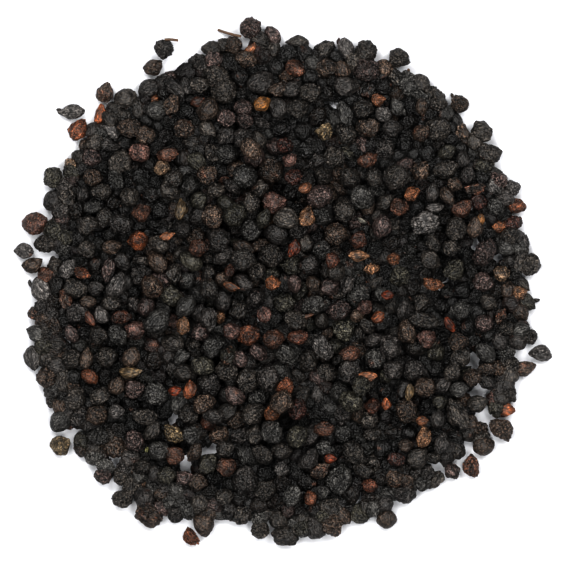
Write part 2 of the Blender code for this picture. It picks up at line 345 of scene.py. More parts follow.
    # Each point remembers where on the berry it is, in millimetres, for the skin's pattern.
    skin = add(tree, "ShaderNodeVectorMath", {0: add(tree, "GeometryNodeInputPosition"),
                                              "Scale": 1 / MM}, operation="SCALE")
    kept = add(tree, "GeometryNodeStoreNamedAttribute", {
        "Geometry": shaped, "Name": "skin", "Value": skin}, data_type="FLOAT_VECTOR",
        domain="POINT")
    add(tree, "NodeGroupOutput", {0: kept})
    return tree


BERRY_TREE = berry_tree()
print("berry tree:", len(BERRY_TREE.nodes), "nodes")


# %% Make one berry
def evaluate(name, tree, values, mesh=None):
    """Runs a tree with these input values and returns its result as a plain mesh."""
    carrier = bpy.data.objects.new(name, mesh or bpy.data.meshes.new(name))
    bpy.context.scene.collection.objects.link(carrier)
    modifier = carrier.modifiers.new("nodes", "NODES")
    modifier.node_group = tree
    for socket in tree.interface.items_tree:
        if socket.in_out == "INPUT" and socket.name in values:
            modifier[socket.identifier] = values[socket.name]
    carrier.update_tag()
    seen = carrier.evaluated_get(bpy.context.evaluated_depsgraph_get())
    result = bpy.data.meshes.new_from_object(seen)
    bpy.data.objects.remove(carrier)
    result.name = name
    return result


sample = evaluate("sample", BERRY_TREE, {})
print("one berry:", len(sample.polygons), "faces,",
      round(max(v.co.x for v in sample.vertices) * 2 / MM, 1), "mm long and",
      round(max(v.co.y for v in sample.vertices) * 2 / MM, 1), "mm wide")

# %% [markdown]
# ## The kinds of berry
# Six kinds lie in the heap. Most have a crinkled skin like a raisin's. Others stayed smooth and
# pointed, or fell in over their seeds. Some show the ring of the flower. A few never ripened and
# dried small and russet, and here and there a seed has lost its skin. Each kind gives ranges for
# the tree's inputs, and a seeded random choice within them makes every berry a little different.

# %% Describe the kinds
# Ranges: length in mm, then width as a share of length and height as a share of width.
KINDS = {
    "crinkled": {"size": ((4.7, 6.0), (0.80, 0.97), (0.80, 0.94)), "Point": (0.0, 0.25),
                 "Lumps": (0.18, 0.36), "Lobes": (2, 4), "Lobe depth": (0.0, 0.12),
                 "Facets": (0.05, 0.24), "Creases": (2.0, 3.2), "Crease depth": (0.04, 0.10),
                 "Ring": (0.0, 0.0), "Bend": (0.0, 0.10)},
    "smooth": {"size": ((4.6, 6.1), (0.66, 0.84), (0.80, 0.94)), "Point": (0.2, 0.6),
               "Lumps": (0.10, 0.24), "Lobes": (5, 9), "Lobe depth": (0.03, 0.09),
               "Facets": (0.03, 0.16), "Creases": (1.4, 2.2), "Crease depth": (0.02, 0.05),
               "Ring": (0.0, 0.0), "Bend": (0.0, 0.16)},
    "sunken": {"size": ((4.2, 5.7), (0.68, 0.90), (0.68, 0.88)), "Point": (0.1, 0.5),
               "Lumps": (0.20, 0.42), "Lobes": (2, 4), "Lobe depth": (0.10, 0.26),
               "Facets": (0.28, 0.55), "Creases": (1.2, 1.9), "Crease depth": (0.04, 0.12),
               "Ring": (0.0, 0.0), "Bend": (0.0, 0.2)},
    "ringed": {"size": ((4.2, 5.0), (0.90, 1.02), (0.88, 1.0)), "Point": (0.05, 0.2),
               "Lumps": (0.12, 0.24), "Lobes": (5, 7), "Lobe depth": (0.04, 0.12),
               "Facets": (0.06, 0.20), "Creases": (1.5, 2.2), "Crease depth": (0.02, 0.06),
               "Ring": (0.05, 0.10), "Bend": (0.0, 0.05)},
    "unripe": {"size": ((3.2, 4.6), (0.72, 0.92), (0.78, 0.94)), "Point": (0.1, 0.4),
               "Lumps": (0.16, 0.32), "Lobes": (3, 6), "Lobe depth": (0.03, 0.12),
               "Facets": (0.15, 0.40), "Creases": (1.6, 2.4), "Crease depth": (0.04, 0.12),
               "Ring": (0.0, 0.06), "Bend": (0.0, 0.1)},
    "seed": {"size": ((3.0, 4.2), (0.50, 0.66), (0.66, 0.84)), "Point": (0.35, 0.6),
             "Lumps": (0.08, 0.20), "Lobes": (4, 7), "Lobe depth": (0.06, 0.14),
             "Facets": (0.15, 0.35), "Creases": (1.0, 1.6), "Crease depth": (0.02, 0.06),
             "Ring": (0.0, 0.0), "Bend": (0.0, 0.2)},
}
CHANCE = random.Random(1807)


def new_shape(kind, chance, length=None, width=None):
    """The berry tree's input values for one berry of a kind. Length and width are in mm."""
    ranges = KINDS[kind]
    (low, high), widths, heights = ranges["size"]
    length = length or chance.uniform(low, high)
    width = width or length * chance.uniform(*widths)
    height = width * chance.uniform(*heights)
    shape = {"Length": length * MM, "Width": width * MM, "Height": height * MM,
             "Lobes": chance.randint(*ranges["Lobes"]), "Seed": chance.uniform(0, 40)}
    for name in ("Point", "Lumps", "Lobe depth", "Facets", "Creases", "Crease depth", "Ring",
                 "Bend"):
        shape[name] = chance.uniform(*ranges[name])
    return shape


def berry_mesh(shape, detail):
    """The berry tree's mesh for these values, stretched to the very length, width and height."""
    mesh = evaluate("berry", BERRY_TREE, {**shape, "Detail": detail})
    points = np.empty(len(mesh.vertices) * 3)
    mesh.vertices.foreach_get("co", points)
    points = points.reshape(-1, 3)
    low, high = points.min(0), points.max(0)
    wanted = np.array((shape["Length"], shape["Width"], shape["Height"]))
    points = (points - (low + high) / 2) * wanted / (high - low)
    mesh.vertices.foreach_set("co", points.ravel())
    mesh.update()
    return mesh


print("kinds:", ", ".join(KINDS))

# %% [markdown]
# ## Colours
# A ripe berry dries to a black that is never quite neutral: it leans to purple, brown, olive or
# slate, and a pale bloom of wax lies on it. The few coloured berries and seeds are russet, orange,
# amber or tan, and a crumb or two is straw or cream.

# %% Name the tints
TINTS = {
    "black": "#3b3733", "ink": "#353230", "slate": "#3d3c3a", "olive": "#3b3932",
    "purple": "#493e3b", "brown": "#453a32", "grey": "#53504e", "maroon": "#412a24",
    "pink_brown": "#624b44", "dark_russet": "#52392d", "russet": "#69432f",
    "red_brown": "#523427", "orange_brown": "#775139", "orange": "#7c4c31",
    "red_orange": "#65311b", "amber": "#90673b", "tan": "#63543f", "golden": "#736150",
    "olive_brown": "#605441", "tan_brown": "#7b5f49", "straw": "#a8a775", "cream": "#918d82",
}
PALENESS = (0.5, 1.3)  # from berry to berry, a factor on the tint
HAND_PALENESS = (0.58, 0.98)  # the same for those at listed places, with tints of their own
PAINTED_SHADE_IN_GAPS = (0.03, 0.18)  # and painted shade for the small ones at the bottom of the heap's gaps, dark as the gaps
RIPE_TINTS = ("black", "black", "black", "ink", "ink", "slate", "slate", "olive", "purple",
              "brown", "brown")
print(len(TINTS), "tints")

# %% [markdown]
# ## Setting many berries
# A second tree does what hands would: it takes one point for each berry, with the berry's shape,
# turn and tint written on it, puts the right shape on every point, and makes them real. Then it
# raises fine folds along each berry's own skin, so that no two berries that share a shape look
# alike. It also lays every berry's faces out in a square of its own on a map, which keeps each
# skin's pattern apart when the finished model is baked.

# %% Build the tree that sets the berries
SETTING_INPUTS = (
    ("Points", "NodeSocketGeometry", None),
    ("Shapes", "NodeSocketCollection", None),
    ("Fold length", "NodeSocketFloat", 1.1),  # millimetres from fold to fold
    ("Fold depth", "NodeSocketFloat", 0.1 * MM),
    ("Squares", "NodeSocketInt", 1),  # map squares along each side
    ("Skin", "NodeSocketMaterial", None),
)
SQUARE_MARGIN = 0.02  # round each berry's faces, as a share of their square on the map


def setting_tree():
    tree = new_tree("settled_berries", SETTING_INPUTS)
    given = add(tree, "NodeGroupInput").outputs
    shapes = add(tree, "GeometryNodeCollectionInfo", {
        "Collection": given["Shapes"], "Separate Children": True, "Reset Children": True})
    shape = add(tree, "GeometryNodeInputNamedAttribute", {"Name": "shape"}, data_type="INT")
    turn = add(tree, "GeometryNodeInputNamedAttribute", {"Name": "turn"},
               data_type="FLOAT_VECTOR")
    turn = add(tree, "FunctionNodeEulerToRotation", {0: turn})
    set_down = add(tree, "GeometryNodeInstanceOnPoints", {
        "Points": given["Points"], "Instance": shapes, "Pick Instance": True,
        "Instance Index": shape, "Rotation": turn})
    real = add(tree, "GeometryNodeRealizeInstances", {0: set_down})

    # Each berry's pattern starts from a place of its own.
    chance = add(tree, "GeometryNodeInputNamedAttribute", {"Name": "chance"}, data_type="FLOAT")
    shift = add(tree, "ShaderNodeVectorMath", {0: (31.0, 57.0, 83.0), "Scale": chance.outputs[0]},
                operation="SCALE")
    skin = add(tree, "GeometryNodeInputNamedAttribute", {"Name": "skin"},
               data_type="FLOAT_VECTOR")
    own = add(tree, "ShaderNodeVectorMath", {0: skin, 1: shift}, operation="ADD")
    kept = add(tree, "GeometryNodeStoreNamedAttribute", {
        "Geometry": real, "Name": "skin", "Value": own}, data_type="FLOAT_VECTOR",
        domain="POINT")

    # Folds: rounded ridges with sharp valleys, raised along the skin's own direction.
    skin = add(tree, "GeometryNodeInputNamedAttribute", {"Name": "skin"},
               data_type="FLOAT_VECTOR")
    pitch = add(tree, "ShaderNodeMath", {0: 1.0, 1: given["Fold length"]}, operation="DIVIDE")
    fold = add(tree, "ShaderNodeTexNoise", {"Vector": skin, "Scale": pitch, "Detail": 2.0,
                                            "Roughness": 0.55})
    fold = add(tree, "ShaderNodeMath", {0: fold, 1: 0.5}, operation="SUBTRACT")
    fold = add(tree, "ShaderNodeMath", {0: fold}, operation="ABSOLUTE")
    fold = add(tree, "ShaderNodeMath", {0: fold, 1: 7.0, 2: -0.6}, operation="MULTIPLY_ADD")
    fold = add(tree, "ShaderNodeMath", {0: fold, 1: 0.7}, operation="MINIMUM")
    fold = add(tree, "ShaderNodeMath", {0: fold, 1: given["Fold depth"]}, operation="MULTIPLY")
    away = add(tree, "ShaderNodeVectorMath", {0: add(tree, "GeometryNodeInputNormal"),
                                              "Scale": fold.outputs[0]}, operation="SCALE")
    folded = add(tree, "GeometryNodeSetPosition", {"Geometry": kept, "Offset": away})

    # The map: each berry's faces in a square of its own. A hair is added before a row's number is
    # rounded down, as a division may come out just short of it.
    cell = add(tree, "GeometryNodeInputNamedAttribute", {"Name": "cell"}, data_type="INT")
    column = add(tree, "ShaderNodeMath", {0: cell, 1: given["Squares"]}, operation="MODULO")
    row = add(tree, "ShaderNodeMath", {0: cell, 1: given["Squares"]}, operation="DIVIDE")
    row = add(tree, "ShaderNodeMath", {0: row, 1: 0.0001}, operation="ADD")
    row = add(tree, "ShaderNodeMath", {0: row}, operation="FLOOR")
    corner = add(tree, "ShaderNodeCombineXYZ", {0: column, 1: row})
    patch = add(tree, "GeometryNodeInputNamedAttribute", {"Name": "patch"},
                data_type="FLOAT_VECTOR")
    inner = 1 - 2 * SQUARE_MARGIN
    patch = add(tree, "ShaderNodeVectorMath", {
        0: patch, 1: (inner, inner, 0), 2: (SQUARE_MARGIN, SQUARE_MARGIN, 0)},
        operation="MULTIPLY_ADD")
    spot = add(tree, "ShaderNodeVectorMath", {0: corner, 1: patch}, operation="ADD")
    share = add(tree, "ShaderNodeMath", {0: 1.0, 1: given["Squares"]}, operation="DIVIDE")
    spot = add(tree, "ShaderNodeVectorMath", {0: spot, "Scale": share.outputs[0]},
               operation="SCALE")
    mapped = add(tree, "GeometryNodeStoreNamedAttribute", {
        "Geometry": folded, "Name": "OFBake", "Value": spot}, data_type="FLOAT2",
        domain="CORNER")
    smooth = add(tree, "GeometryNodeSetShadeSmooth", {"Geometry": mapped})
    dressed = add(tree, "GeometryNodeSetMaterial", {
        "Geometry": smooth, "Material": given["Skin"]})
    add(tree, "NodeGroupOutput", {0: dressed})
    return tree


SETTING_TREE = setting_tree()
print("setting tree:", len(SETTING_TREE.nodes), "nodes")

# %% [markdown]
# ## Skins
# The skin of a dried elderberry is thin fruit leather: waxy, so it has a soft gloss, and shrunk
# into a net of fine wrinkles about half a millimetre apart, with a few broad folds through it and
# calm patches where the flesh still fills it. Light catches the wrinkles' crests, where the pale
# bloom also lies, and leaves their valleys nearly black, and the colour paints this in too:
# painted shade in the valleys, a painted highlight on the crests and the raised grains. One
# function paints all the skins from a few values each, because they differ in degree and not in
# kind: the wrinkles' size and depth, the gloss, how much bloom and painted highlight the crests
# get and how dark the painted shade in the valleys is. The colour of each berry comes from the
# tint that its point carried.

# %% Paint the skins
GLOSS_SWING = 0.14  # how far the roughness varies with the grain, to either side


def paint_skin(name, wrinkle, depth, roughness, crest_bloom_and_painted_highlight, painted_valley_shade, dusk, drawn_out=1.0):
    """Dried skin. wrinkle and depth are in mm; the crests' bloom and painted highlight, the
    valleys' painted shade, and dusk are shares of the tint.

    drawn_out, below 1, stretches the wrinkles along the berry. The patterns follow the place on
    the skin in millimetres, so a noise scale of 0.5, for one, has a swell about every 2 mm."""
    made = bpy.data.materials.new(name)
    made.use_nodes = True
    tree = made.node_tree
    shader = tree.nodes["Principled BSDF"]
    skin = add(tree, "ShaderNodeAttribute", attribute_name="skin").outputs["Vector"]
    along = add(tree, "ShaderNodeVectorMath", {0: skin, 1: (drawn_out, 1.0, 1.0)},
                operation="MULTIPLY")

    # Wrinkles: a net of rounded cells, broken up by noise.
    stir = add(tree, "ShaderNodeTexNoise", {"Vector": along, "Scale": 0.9 / wrinkle,
                                            "Detail": 2.0})
    stirred = add(tree, "ShaderNodeVectorMath", {0: stir.outputs["Color"],
                                                 "Scale": 0.7 * wrinkle}, operation="SCALE")
    stirred = add(tree, "ShaderNodeVectorMath", {0: along, 1: stirred}, operation="ADD")
    cells = add(tree, "ShaderNodeTexVoronoi", {"Vector": stirred, "Scale": 1 / wrinkle,
                                               "Smoothness": 0.2}, feature="SMOOTH_F1")
    grain = add(tree, "ShaderNodeTexNoise", {"Vector": along, "Scale": 1.7 / wrinkle,
                                             "Detail": 2.0})
    height = add(tree, "ShaderNodeMath", {0: cells, 1: -1.25, 2: 1.0}, operation="MULTIPLY_ADD")
    height = add(tree, "ShaderNodeMath", {0: grain, 1: 0.45, 2: height},
                 operation="MULTIPLY_ADD")

    # Broad folds cut through the net, and the relief fades out on calm patches.
    fold = add(tree, "ShaderNodeTexNoise", {"Vector": along, "Scale": 0.42 / wrinkle,
                                            "Detail": 2.0})
    fold = add(tree, "ShaderNodeMath", {0: fold, 1: 0.5}, operation="SUBTRACT")
    fold = add(tree, "ShaderNodeMath", {0: fold}, operation="ABSOLUTE")
    fold = add(tree, "ShaderNodeMapRange", {"Value": fold, "From Max": 0.09, "To Min": -0.28,
                                            "To Max": 0.10}, interpolation_type="SMOOTHSTEP")
    height = add(tree, "ShaderNodeMath", {0: height, 1: fold}, operation="ADD")
    calm = add(tree, "ShaderNodeTexNoise", {"Vector": skin, "Scale": 0.35, "Detail": 1.0})
    calm = add(tree, "ShaderNodeMapRange", {"Value": calm, "From Min": 0.42, "From Max": 0.58,
                                            "To Max": 0.35})
    rough = add(tree, "ShaderNodeMath", {0: 1.0, 1: calm}, operation="SUBTRACT")
    raised = add(tree, "ShaderNodeBump", {"Height": height, "Distance": depth * MM,
                                          "Strength": rough})

    # Tone: painted shade in the valleys, bloom and a painted highlight on the crests, and wide
    # soft mottling.
    tint = add(tree, "ShaderNodeAttribute", attribute_name="tint").outputs["Color"]
    tone = add(tree, "ShaderNodeMapRange", {"Value": height, "From Min": 0.36, "From Max": 1.05,
                                            "To Min": painted_valley_shade, "To Max": crest_bloom_and_painted_highlight})
    tone = add(tree, "ShaderNodeMix", {0: calm, 2: tone, 3: 0.9}, data_type="FLOAT")
    mottle = add(tree, "ShaderNodeTexNoise", {"Vector": skin, "Scale": 0.6, "Detail": 3.0})
    mottle = add(tree, "ShaderNodeMapRange", {"Value": mottle, "From Min": 0.35,
                                              "From Max": 0.65, "To Min": dusk,
                                              "To Max": 2.0 - dusk})
    tone = add(tree, "ShaderNodeMath", {0: tone, 1: mottle}, operation="MULTIPLY")
    # Fine grain: dust, and painted glints that lighten the raised grains the bump lifts and darken
    # the rest.
    dust_and_painted_glints = add(tree, "ShaderNodeMapRange", {"Value": grain, "From Min": 0.38, "From Max": 0.62,
                                            "To Min": 0.36, "To Max": 1.66})
    tone = add(tree, "ShaderNodeMath", {0: tone, 1: dust_and_painted_glints}, operation="MULTIPLY")
    coloured = add(tree, "ShaderNodeVectorMath", {0: tint, "Scale": tone.outputs[0]},
                   operation="SCALE")

    # Warm patches, where a berry has them: the skin is thin there and the russet seed shows.
    warm = add(tree, "ShaderNodeAttribute", attribute_name="warm").outputs["Fac"]
    blotch = add(tree, "ShaderNodeTexNoise", {"Vector": skin, "Scale": 0.42, "Detail": 2.0})
    blotch = add(tree, "ShaderNodeMath", {0: blotch, 1: warm}, operation="ADD")
    blotch = add(tree, "ShaderNodeMapRange", {"Value": blotch, "From Min": 0.72,
                                              "From Max": 0.90})
    glow = add(tree, "ShaderNodeVectorMath", {0: linear("#543a2e")[:3],
                                              "Scale": tone.outputs[0]}, operation="SCALE")
    colour = add(tree, "ShaderNodeMix", {0: blotch, 6: coloured, 7: glow}, data_type="RGBA")
    tree.links.new(colour.outputs[2], shader.inputs["Base Color"])
    gloss = add(tree, "ShaderNodeMapRange", {"Value": grain, "From Min": 0.3, "From Max": 0.7,
                                             "To Min": roughness - GLOSS_SWING,
                                             "To Max": roughness + GLOSS_SWING})
    tree.links.new(gloss.outputs[0], shader.inputs["Roughness"])
    tree.links.new(raised.outputs[0], shader.inputs["Normal"])
    shader.inputs["IOR"].default_value = 1.5
    return made


# Wrinkle, depth, roughness, crest (bloom and painted highlight), valley (painted shade), dusk and,
# where the wrinkles are drawn out, how far.
SKINS = {
    "crinkled": paint_skin("crinkled_waxy_skin", 0.48, 0.35, 0.40, 2.4, 0.12, 0.55),
    "smooth": paint_skin("smooth_matt_skin", 0.42, 0.22, 0.48, 2.0, 0.28, 0.6, 0.55),
    "sunken": paint_skin("sunken_leathery_skin", 0.46, 0.33, 0.43, 2.3, 0.15, 0.5, 0.6),
    "unripe": paint_skin("unripe_russet_skin", 0.46, 0.24, 0.48, 1.62, 0.36, 0.3),
    "seed": paint_skin("dry_seed_coat", 0.42, 0.14, 0.50, 1.40, 0.50, 0.35, 0.3),
}
SKINS["ringed"] = SKINS["crinkled"]
print("skins:", len(set(SKINS.values())))

# %% [markdown]
# ## The loose berries round the edge
# These lie alone on the white table, so each one's outline can be read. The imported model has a
# plain solid for each, and its points tell how long, wide and high it is, which way it lies and
# which end is the thin one. A finer berry of the same kind takes its place.

# %% Read the loose berries
EDGE_KINDS = {"plump_berry": "crinkled", "oval_berry": "smooth", "pointed_berry": "smooth",
              "ridged_berry": "sunken", "split_berry": "sunken", "unripe_berry": "unripe",
              "bare_seed": "seed"}
EDGE_POINTS = {"oval_berry": 0.16, "pointed_berry": 0.6}
EASE = 1.06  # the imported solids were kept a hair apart, and the berries touch
OTHER_EDGE_TINTS = ("black", "black", "ink", "brown")
EDGE_TINTS = {
    "plump_berry_01": ("purple", 0.1), "oval_berry_01": ("purple", 0.05),
    "pointed_berry_01": ("brown", 0), "split_berry_01": ("brown", 0.22),
    "bare_seed_01": ("orange", 0), "pointed_berry_02": ("grey", 0),
    "unripe_berry_01": ("russet", 0), "plump_berry_04": ("olive", 0),
    "unripe_berry_02": ("pink_brown", 0.3), "pointed_berry_03": ("grey", 0.1),
    "pointed_berry_04": ("brown", 0), "oval_berry_06": ("grey", 0),
    "pointed_berry_05": ("slate", 0), "pointed_berry_06": ("grey", 0.05),
    "oval_berry_07": ("slate", 0), "unripe_berry_03": ("olive_brown", 0.1),
    "plump_berry_07": ("purple", 0), "split_berry_02": ("brown", 0.2),
    "unripe_berry_04": ("russet", 0.2), "ridged_berry_01": ("black", 0.1),
    "plump_berry_12": ("brown", 0.05), "ridged_berry_03": ("purple", 0),
    "split_berry_03": ("dark_russet", 0.35), "plump_berry_14": ("brown", 0.05),
    "bare_seed_02": ("orange", 0), "pointed_berry_08": ("brown", 0.15),
    "pointed_berry_09": ("grey", 0), "pointed_berry_10": ("olive", 0),
    "unripe_berry_05": ("russet", 0), "plump_berry_16": ("black", 0.1),
    "oval_berry_11": ("grey", 0.05), "pointed_berry_11": ("black", 0.12),
}


class Berry:
    """One berry: its kind, the tree's values for its shape, its place, its turn and its colours.

    A fixed one stays where it is put."""

    def __init__(self, kind, shape, place, turn, tint, warm=0.0, fixed=False):
        self.kind, self.shape, self.place, self.turn = kind, shape, Vector(place), turn
        self.tint, self.warm, self.fixed = tint, warm, fixed
        self.chance = CHANCE.uniform(0, 1)
        self.paleness_and_painted_shade = CHANCE.uniform(*(HAND_PALENESS if fixed else PALENESS))
        self.radius = (shape["Length"] + shape["Width"]) / 4


def lie_of(points):
    """A solid's middle, heading towards its thin end, and size along and across, in plan."""
    middle = (points.min(0) + points.max(0)) / 2
    flat = points[:, :2] - points[:, :2].mean(0)
    way = np.linalg.eigh(flat.T @ flat)[1][:, 1]
    along = flat @ way
    if (along ** 3).sum() < 0:
        way = -way
        along = -along
    across = flat @ np.array((-way[1], way[0]))
    return middle, math.atan2(way[1], way[0]), np.ptp(along), np.ptp(across)


def edge_berry(name):
    """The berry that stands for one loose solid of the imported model."""
    base = name.rsplit("_", 1)[0]
    points = np.array([v.co for v in frame["nodes"][name].data.vertices], float)
    middle, heading, length, width = lie_of(points)
    shape = new_shape(EDGE_KINDS[base], CHANCE, length * EASE / MM, width * EASE / MM)
    shape["Height"] = float(np.ptp(points[:, 2]))
    shape["Point"] = EDGE_POINTS.get(base, shape["Point"])
    tint, warm = EDGE_TINTS.get(name, (CHANCE.choice(OTHER_EDGE_TINTS), 0))
    berry = Berry(EDGE_KINDS[base], shape, middle, Euler((0, 0, heading)), TINTS[tint], warm,
                  fixed=True)
    berry.name = name
    return berry


EDGE_BERRIES = [edge_berry(name) for name in sorted(frame["nodes"])
                if name.rsplit("_", 1)[0] in EDGE_KINDS]
print(len(EDGE_BERRIES), "loose berries, the longest",
      round(max(berry.shape["Length"] for berry in EDGE_BERRIES) / MM, 1), "mm")

# %% [markdown]
# ## Where the berries start
# Berries that stand out, because they are coloured or lie in the open, are set at listed places
# and
# stay where they are put: a second row behind the loose ones, and those on top, sunk a little into
# the packed mound's surface, which a ray dropped on it finds. The others start in loose layers
# above the table, each a jittered lattice cut to the mound's outline. The lower layers reach the
# edge and the upper ones end earlier, so the heap is one berry deep at its rim and two to three in
# the middle. Nothing starts over a few listed spots, where the table stays bare. Shapes of their
# own for all of them would take long to make, so those that fall share a stock of shapes.

# %% List the berries that stay where they are put
# (kind, x, y, heading in degrees, length, width, tint), in millimetres from the mound's middle,
# and after them a berry's warmth where it has any: up to 0.5, half russet.
SECOND_ROW = (
    ("sunken", -24.9, 44.3, 0, 4.4, 2.9, "purple"),
    ("crinkled", -19.0, 47.3, -10, 5.3, 4.2, "ink"),
    ("crinkled", -37.6, 37.4, 0, 3.8, 3.4, "black"),
    ("smooth", -42.3, 32.9, 60, 4.0, 3.0, "ink"),
    ("sunken", -28.7, 42.3, 30, 4.0, 3.2, "black"),
    ("crinkled", -13.7, 51.2, 0, 3.4, 3.2, "black"),
    ("smooth", -2.8, 50.6, 80, 4.4, 3.2, "black"),
    ("crinkled", -5.8, 52.2, -50, 5.2, 3.8, "black"),
    ("sunken", 8.3, 50.2, 20, 5.0, 4.2, "black"),
    ("crinkled", 32.8, 38.9, 30, 4.5, 4.4, "black"),
    ("smooth", 36.9, 34.7, -60, 4.8, 2.6, "ink"),
    ("smooth", 44.8, 23.6, -15, 4.4, 2.8, "black"),
    ("crinkled", 49.0, 20.2, -30, 3.5, 3.3, "grey"),
    ("sunken", 45.2, 20.4, -45, 4.6, 3.8, "grey"),
    ("crinkled", 49.2, 12.6, 10, 4.2, 3.3, "maroon"),
    ("unripe", 46.0, 11.9, 20, 4.0, 3.0, "orange_brown"),
    ("sunken", 51.4, 8.5, 95, 4.9, 2.5, "grey"),
    ("smooth", 51.1, -0.6, -50, 4.6, 2.7, "black"),
    ("sunken", 51.0, -9.1, -43, 4.6, 2.2, "purple"),
    ("unripe", 49.3, -12.4, 65, 4.2, 2.9, "red_brown"),
    ("crinkled", 52.9, -12.2, 60, 3.5, 3.1, "black"),
    ("smooth", 47.2, -17.2, 110, 4.4, 2.9, "black"),
    ("crinkled", 46.3, -21.2, -60, 3.6, 3.3, "ink"),
    ("unripe", 44.8, -25.6, 100, 3.8, 3.2, "pink_brown"),
    ("crinkled", 37.0, -36.8, 80, 4.4, 3.8, "black"),
    ("sunken", 32.0, -43.2, 35, 4.8, 3.4, "black"),
    ("crinkled", 28.0, -41.8, 20, 3.9, 3.4, "ink"),
    ("smooth", 19.9, -46.9, -70, 4.2, 2.6, "black"),
    ("smooth", 17.0, -48.8, 95, 3.6, 2.3, "black"),
    ("sunken", 13.8, -49.6, 5, 4.8, 3.0, "ink"),
    ("smooth", 3.6, -51.6, 50, 4.5, 3.4, "black"),
    ("smooth", -14.9, -50.6, -35, 4.6, 2.8, "slate"),
    ("crinkled", -27.2, -46.5, -35, 4.4, 3.7, "brown"),
    ("seed", -31.2, -43.8, 65, 3.5, 2.4, "tan_brown"),
    ("sunken", -40.2, -37.8, 80, 4.3, 3.2, "purple"),
    ("crinkled", -44.6, -36.8, 10, 3.6, 3.2, "brown"),
    ("crinkled", -51.2, -25.8, 105, 3.8, 2.6, "black", 0.1),
    ("smooth", -50.3, -15.3, -5, 5.0, 3.2, "brown"),
    ("crinkled", -54.6, -7.0, 180, 3.7, 3.1, "black", 0.25),
    ("sunken", -50.4, -7.7, 95, 4.6, 2.7, "brown", 0.1),
    ("crinkled", -50.4, 3.2, 90, 4.6, 3.8, "black"),
    ("sunken", -49.2, 13.2, 0, 4.8, 3.0, "purple", 0.05),
    ("ringed", -47.0, 25.2, 120, 3.4, 2.9, "golden"),
    ("crinkled", -46.6, 21.8, 40, 3.6, 3.6, "purple"),
    ("unripe", -44.2, 29.2, 90, 3.2, 2.2, "brown"),
    ("crinkled", -42.4, 27.0, 10, 5.0, 4.5, "purple"),
)
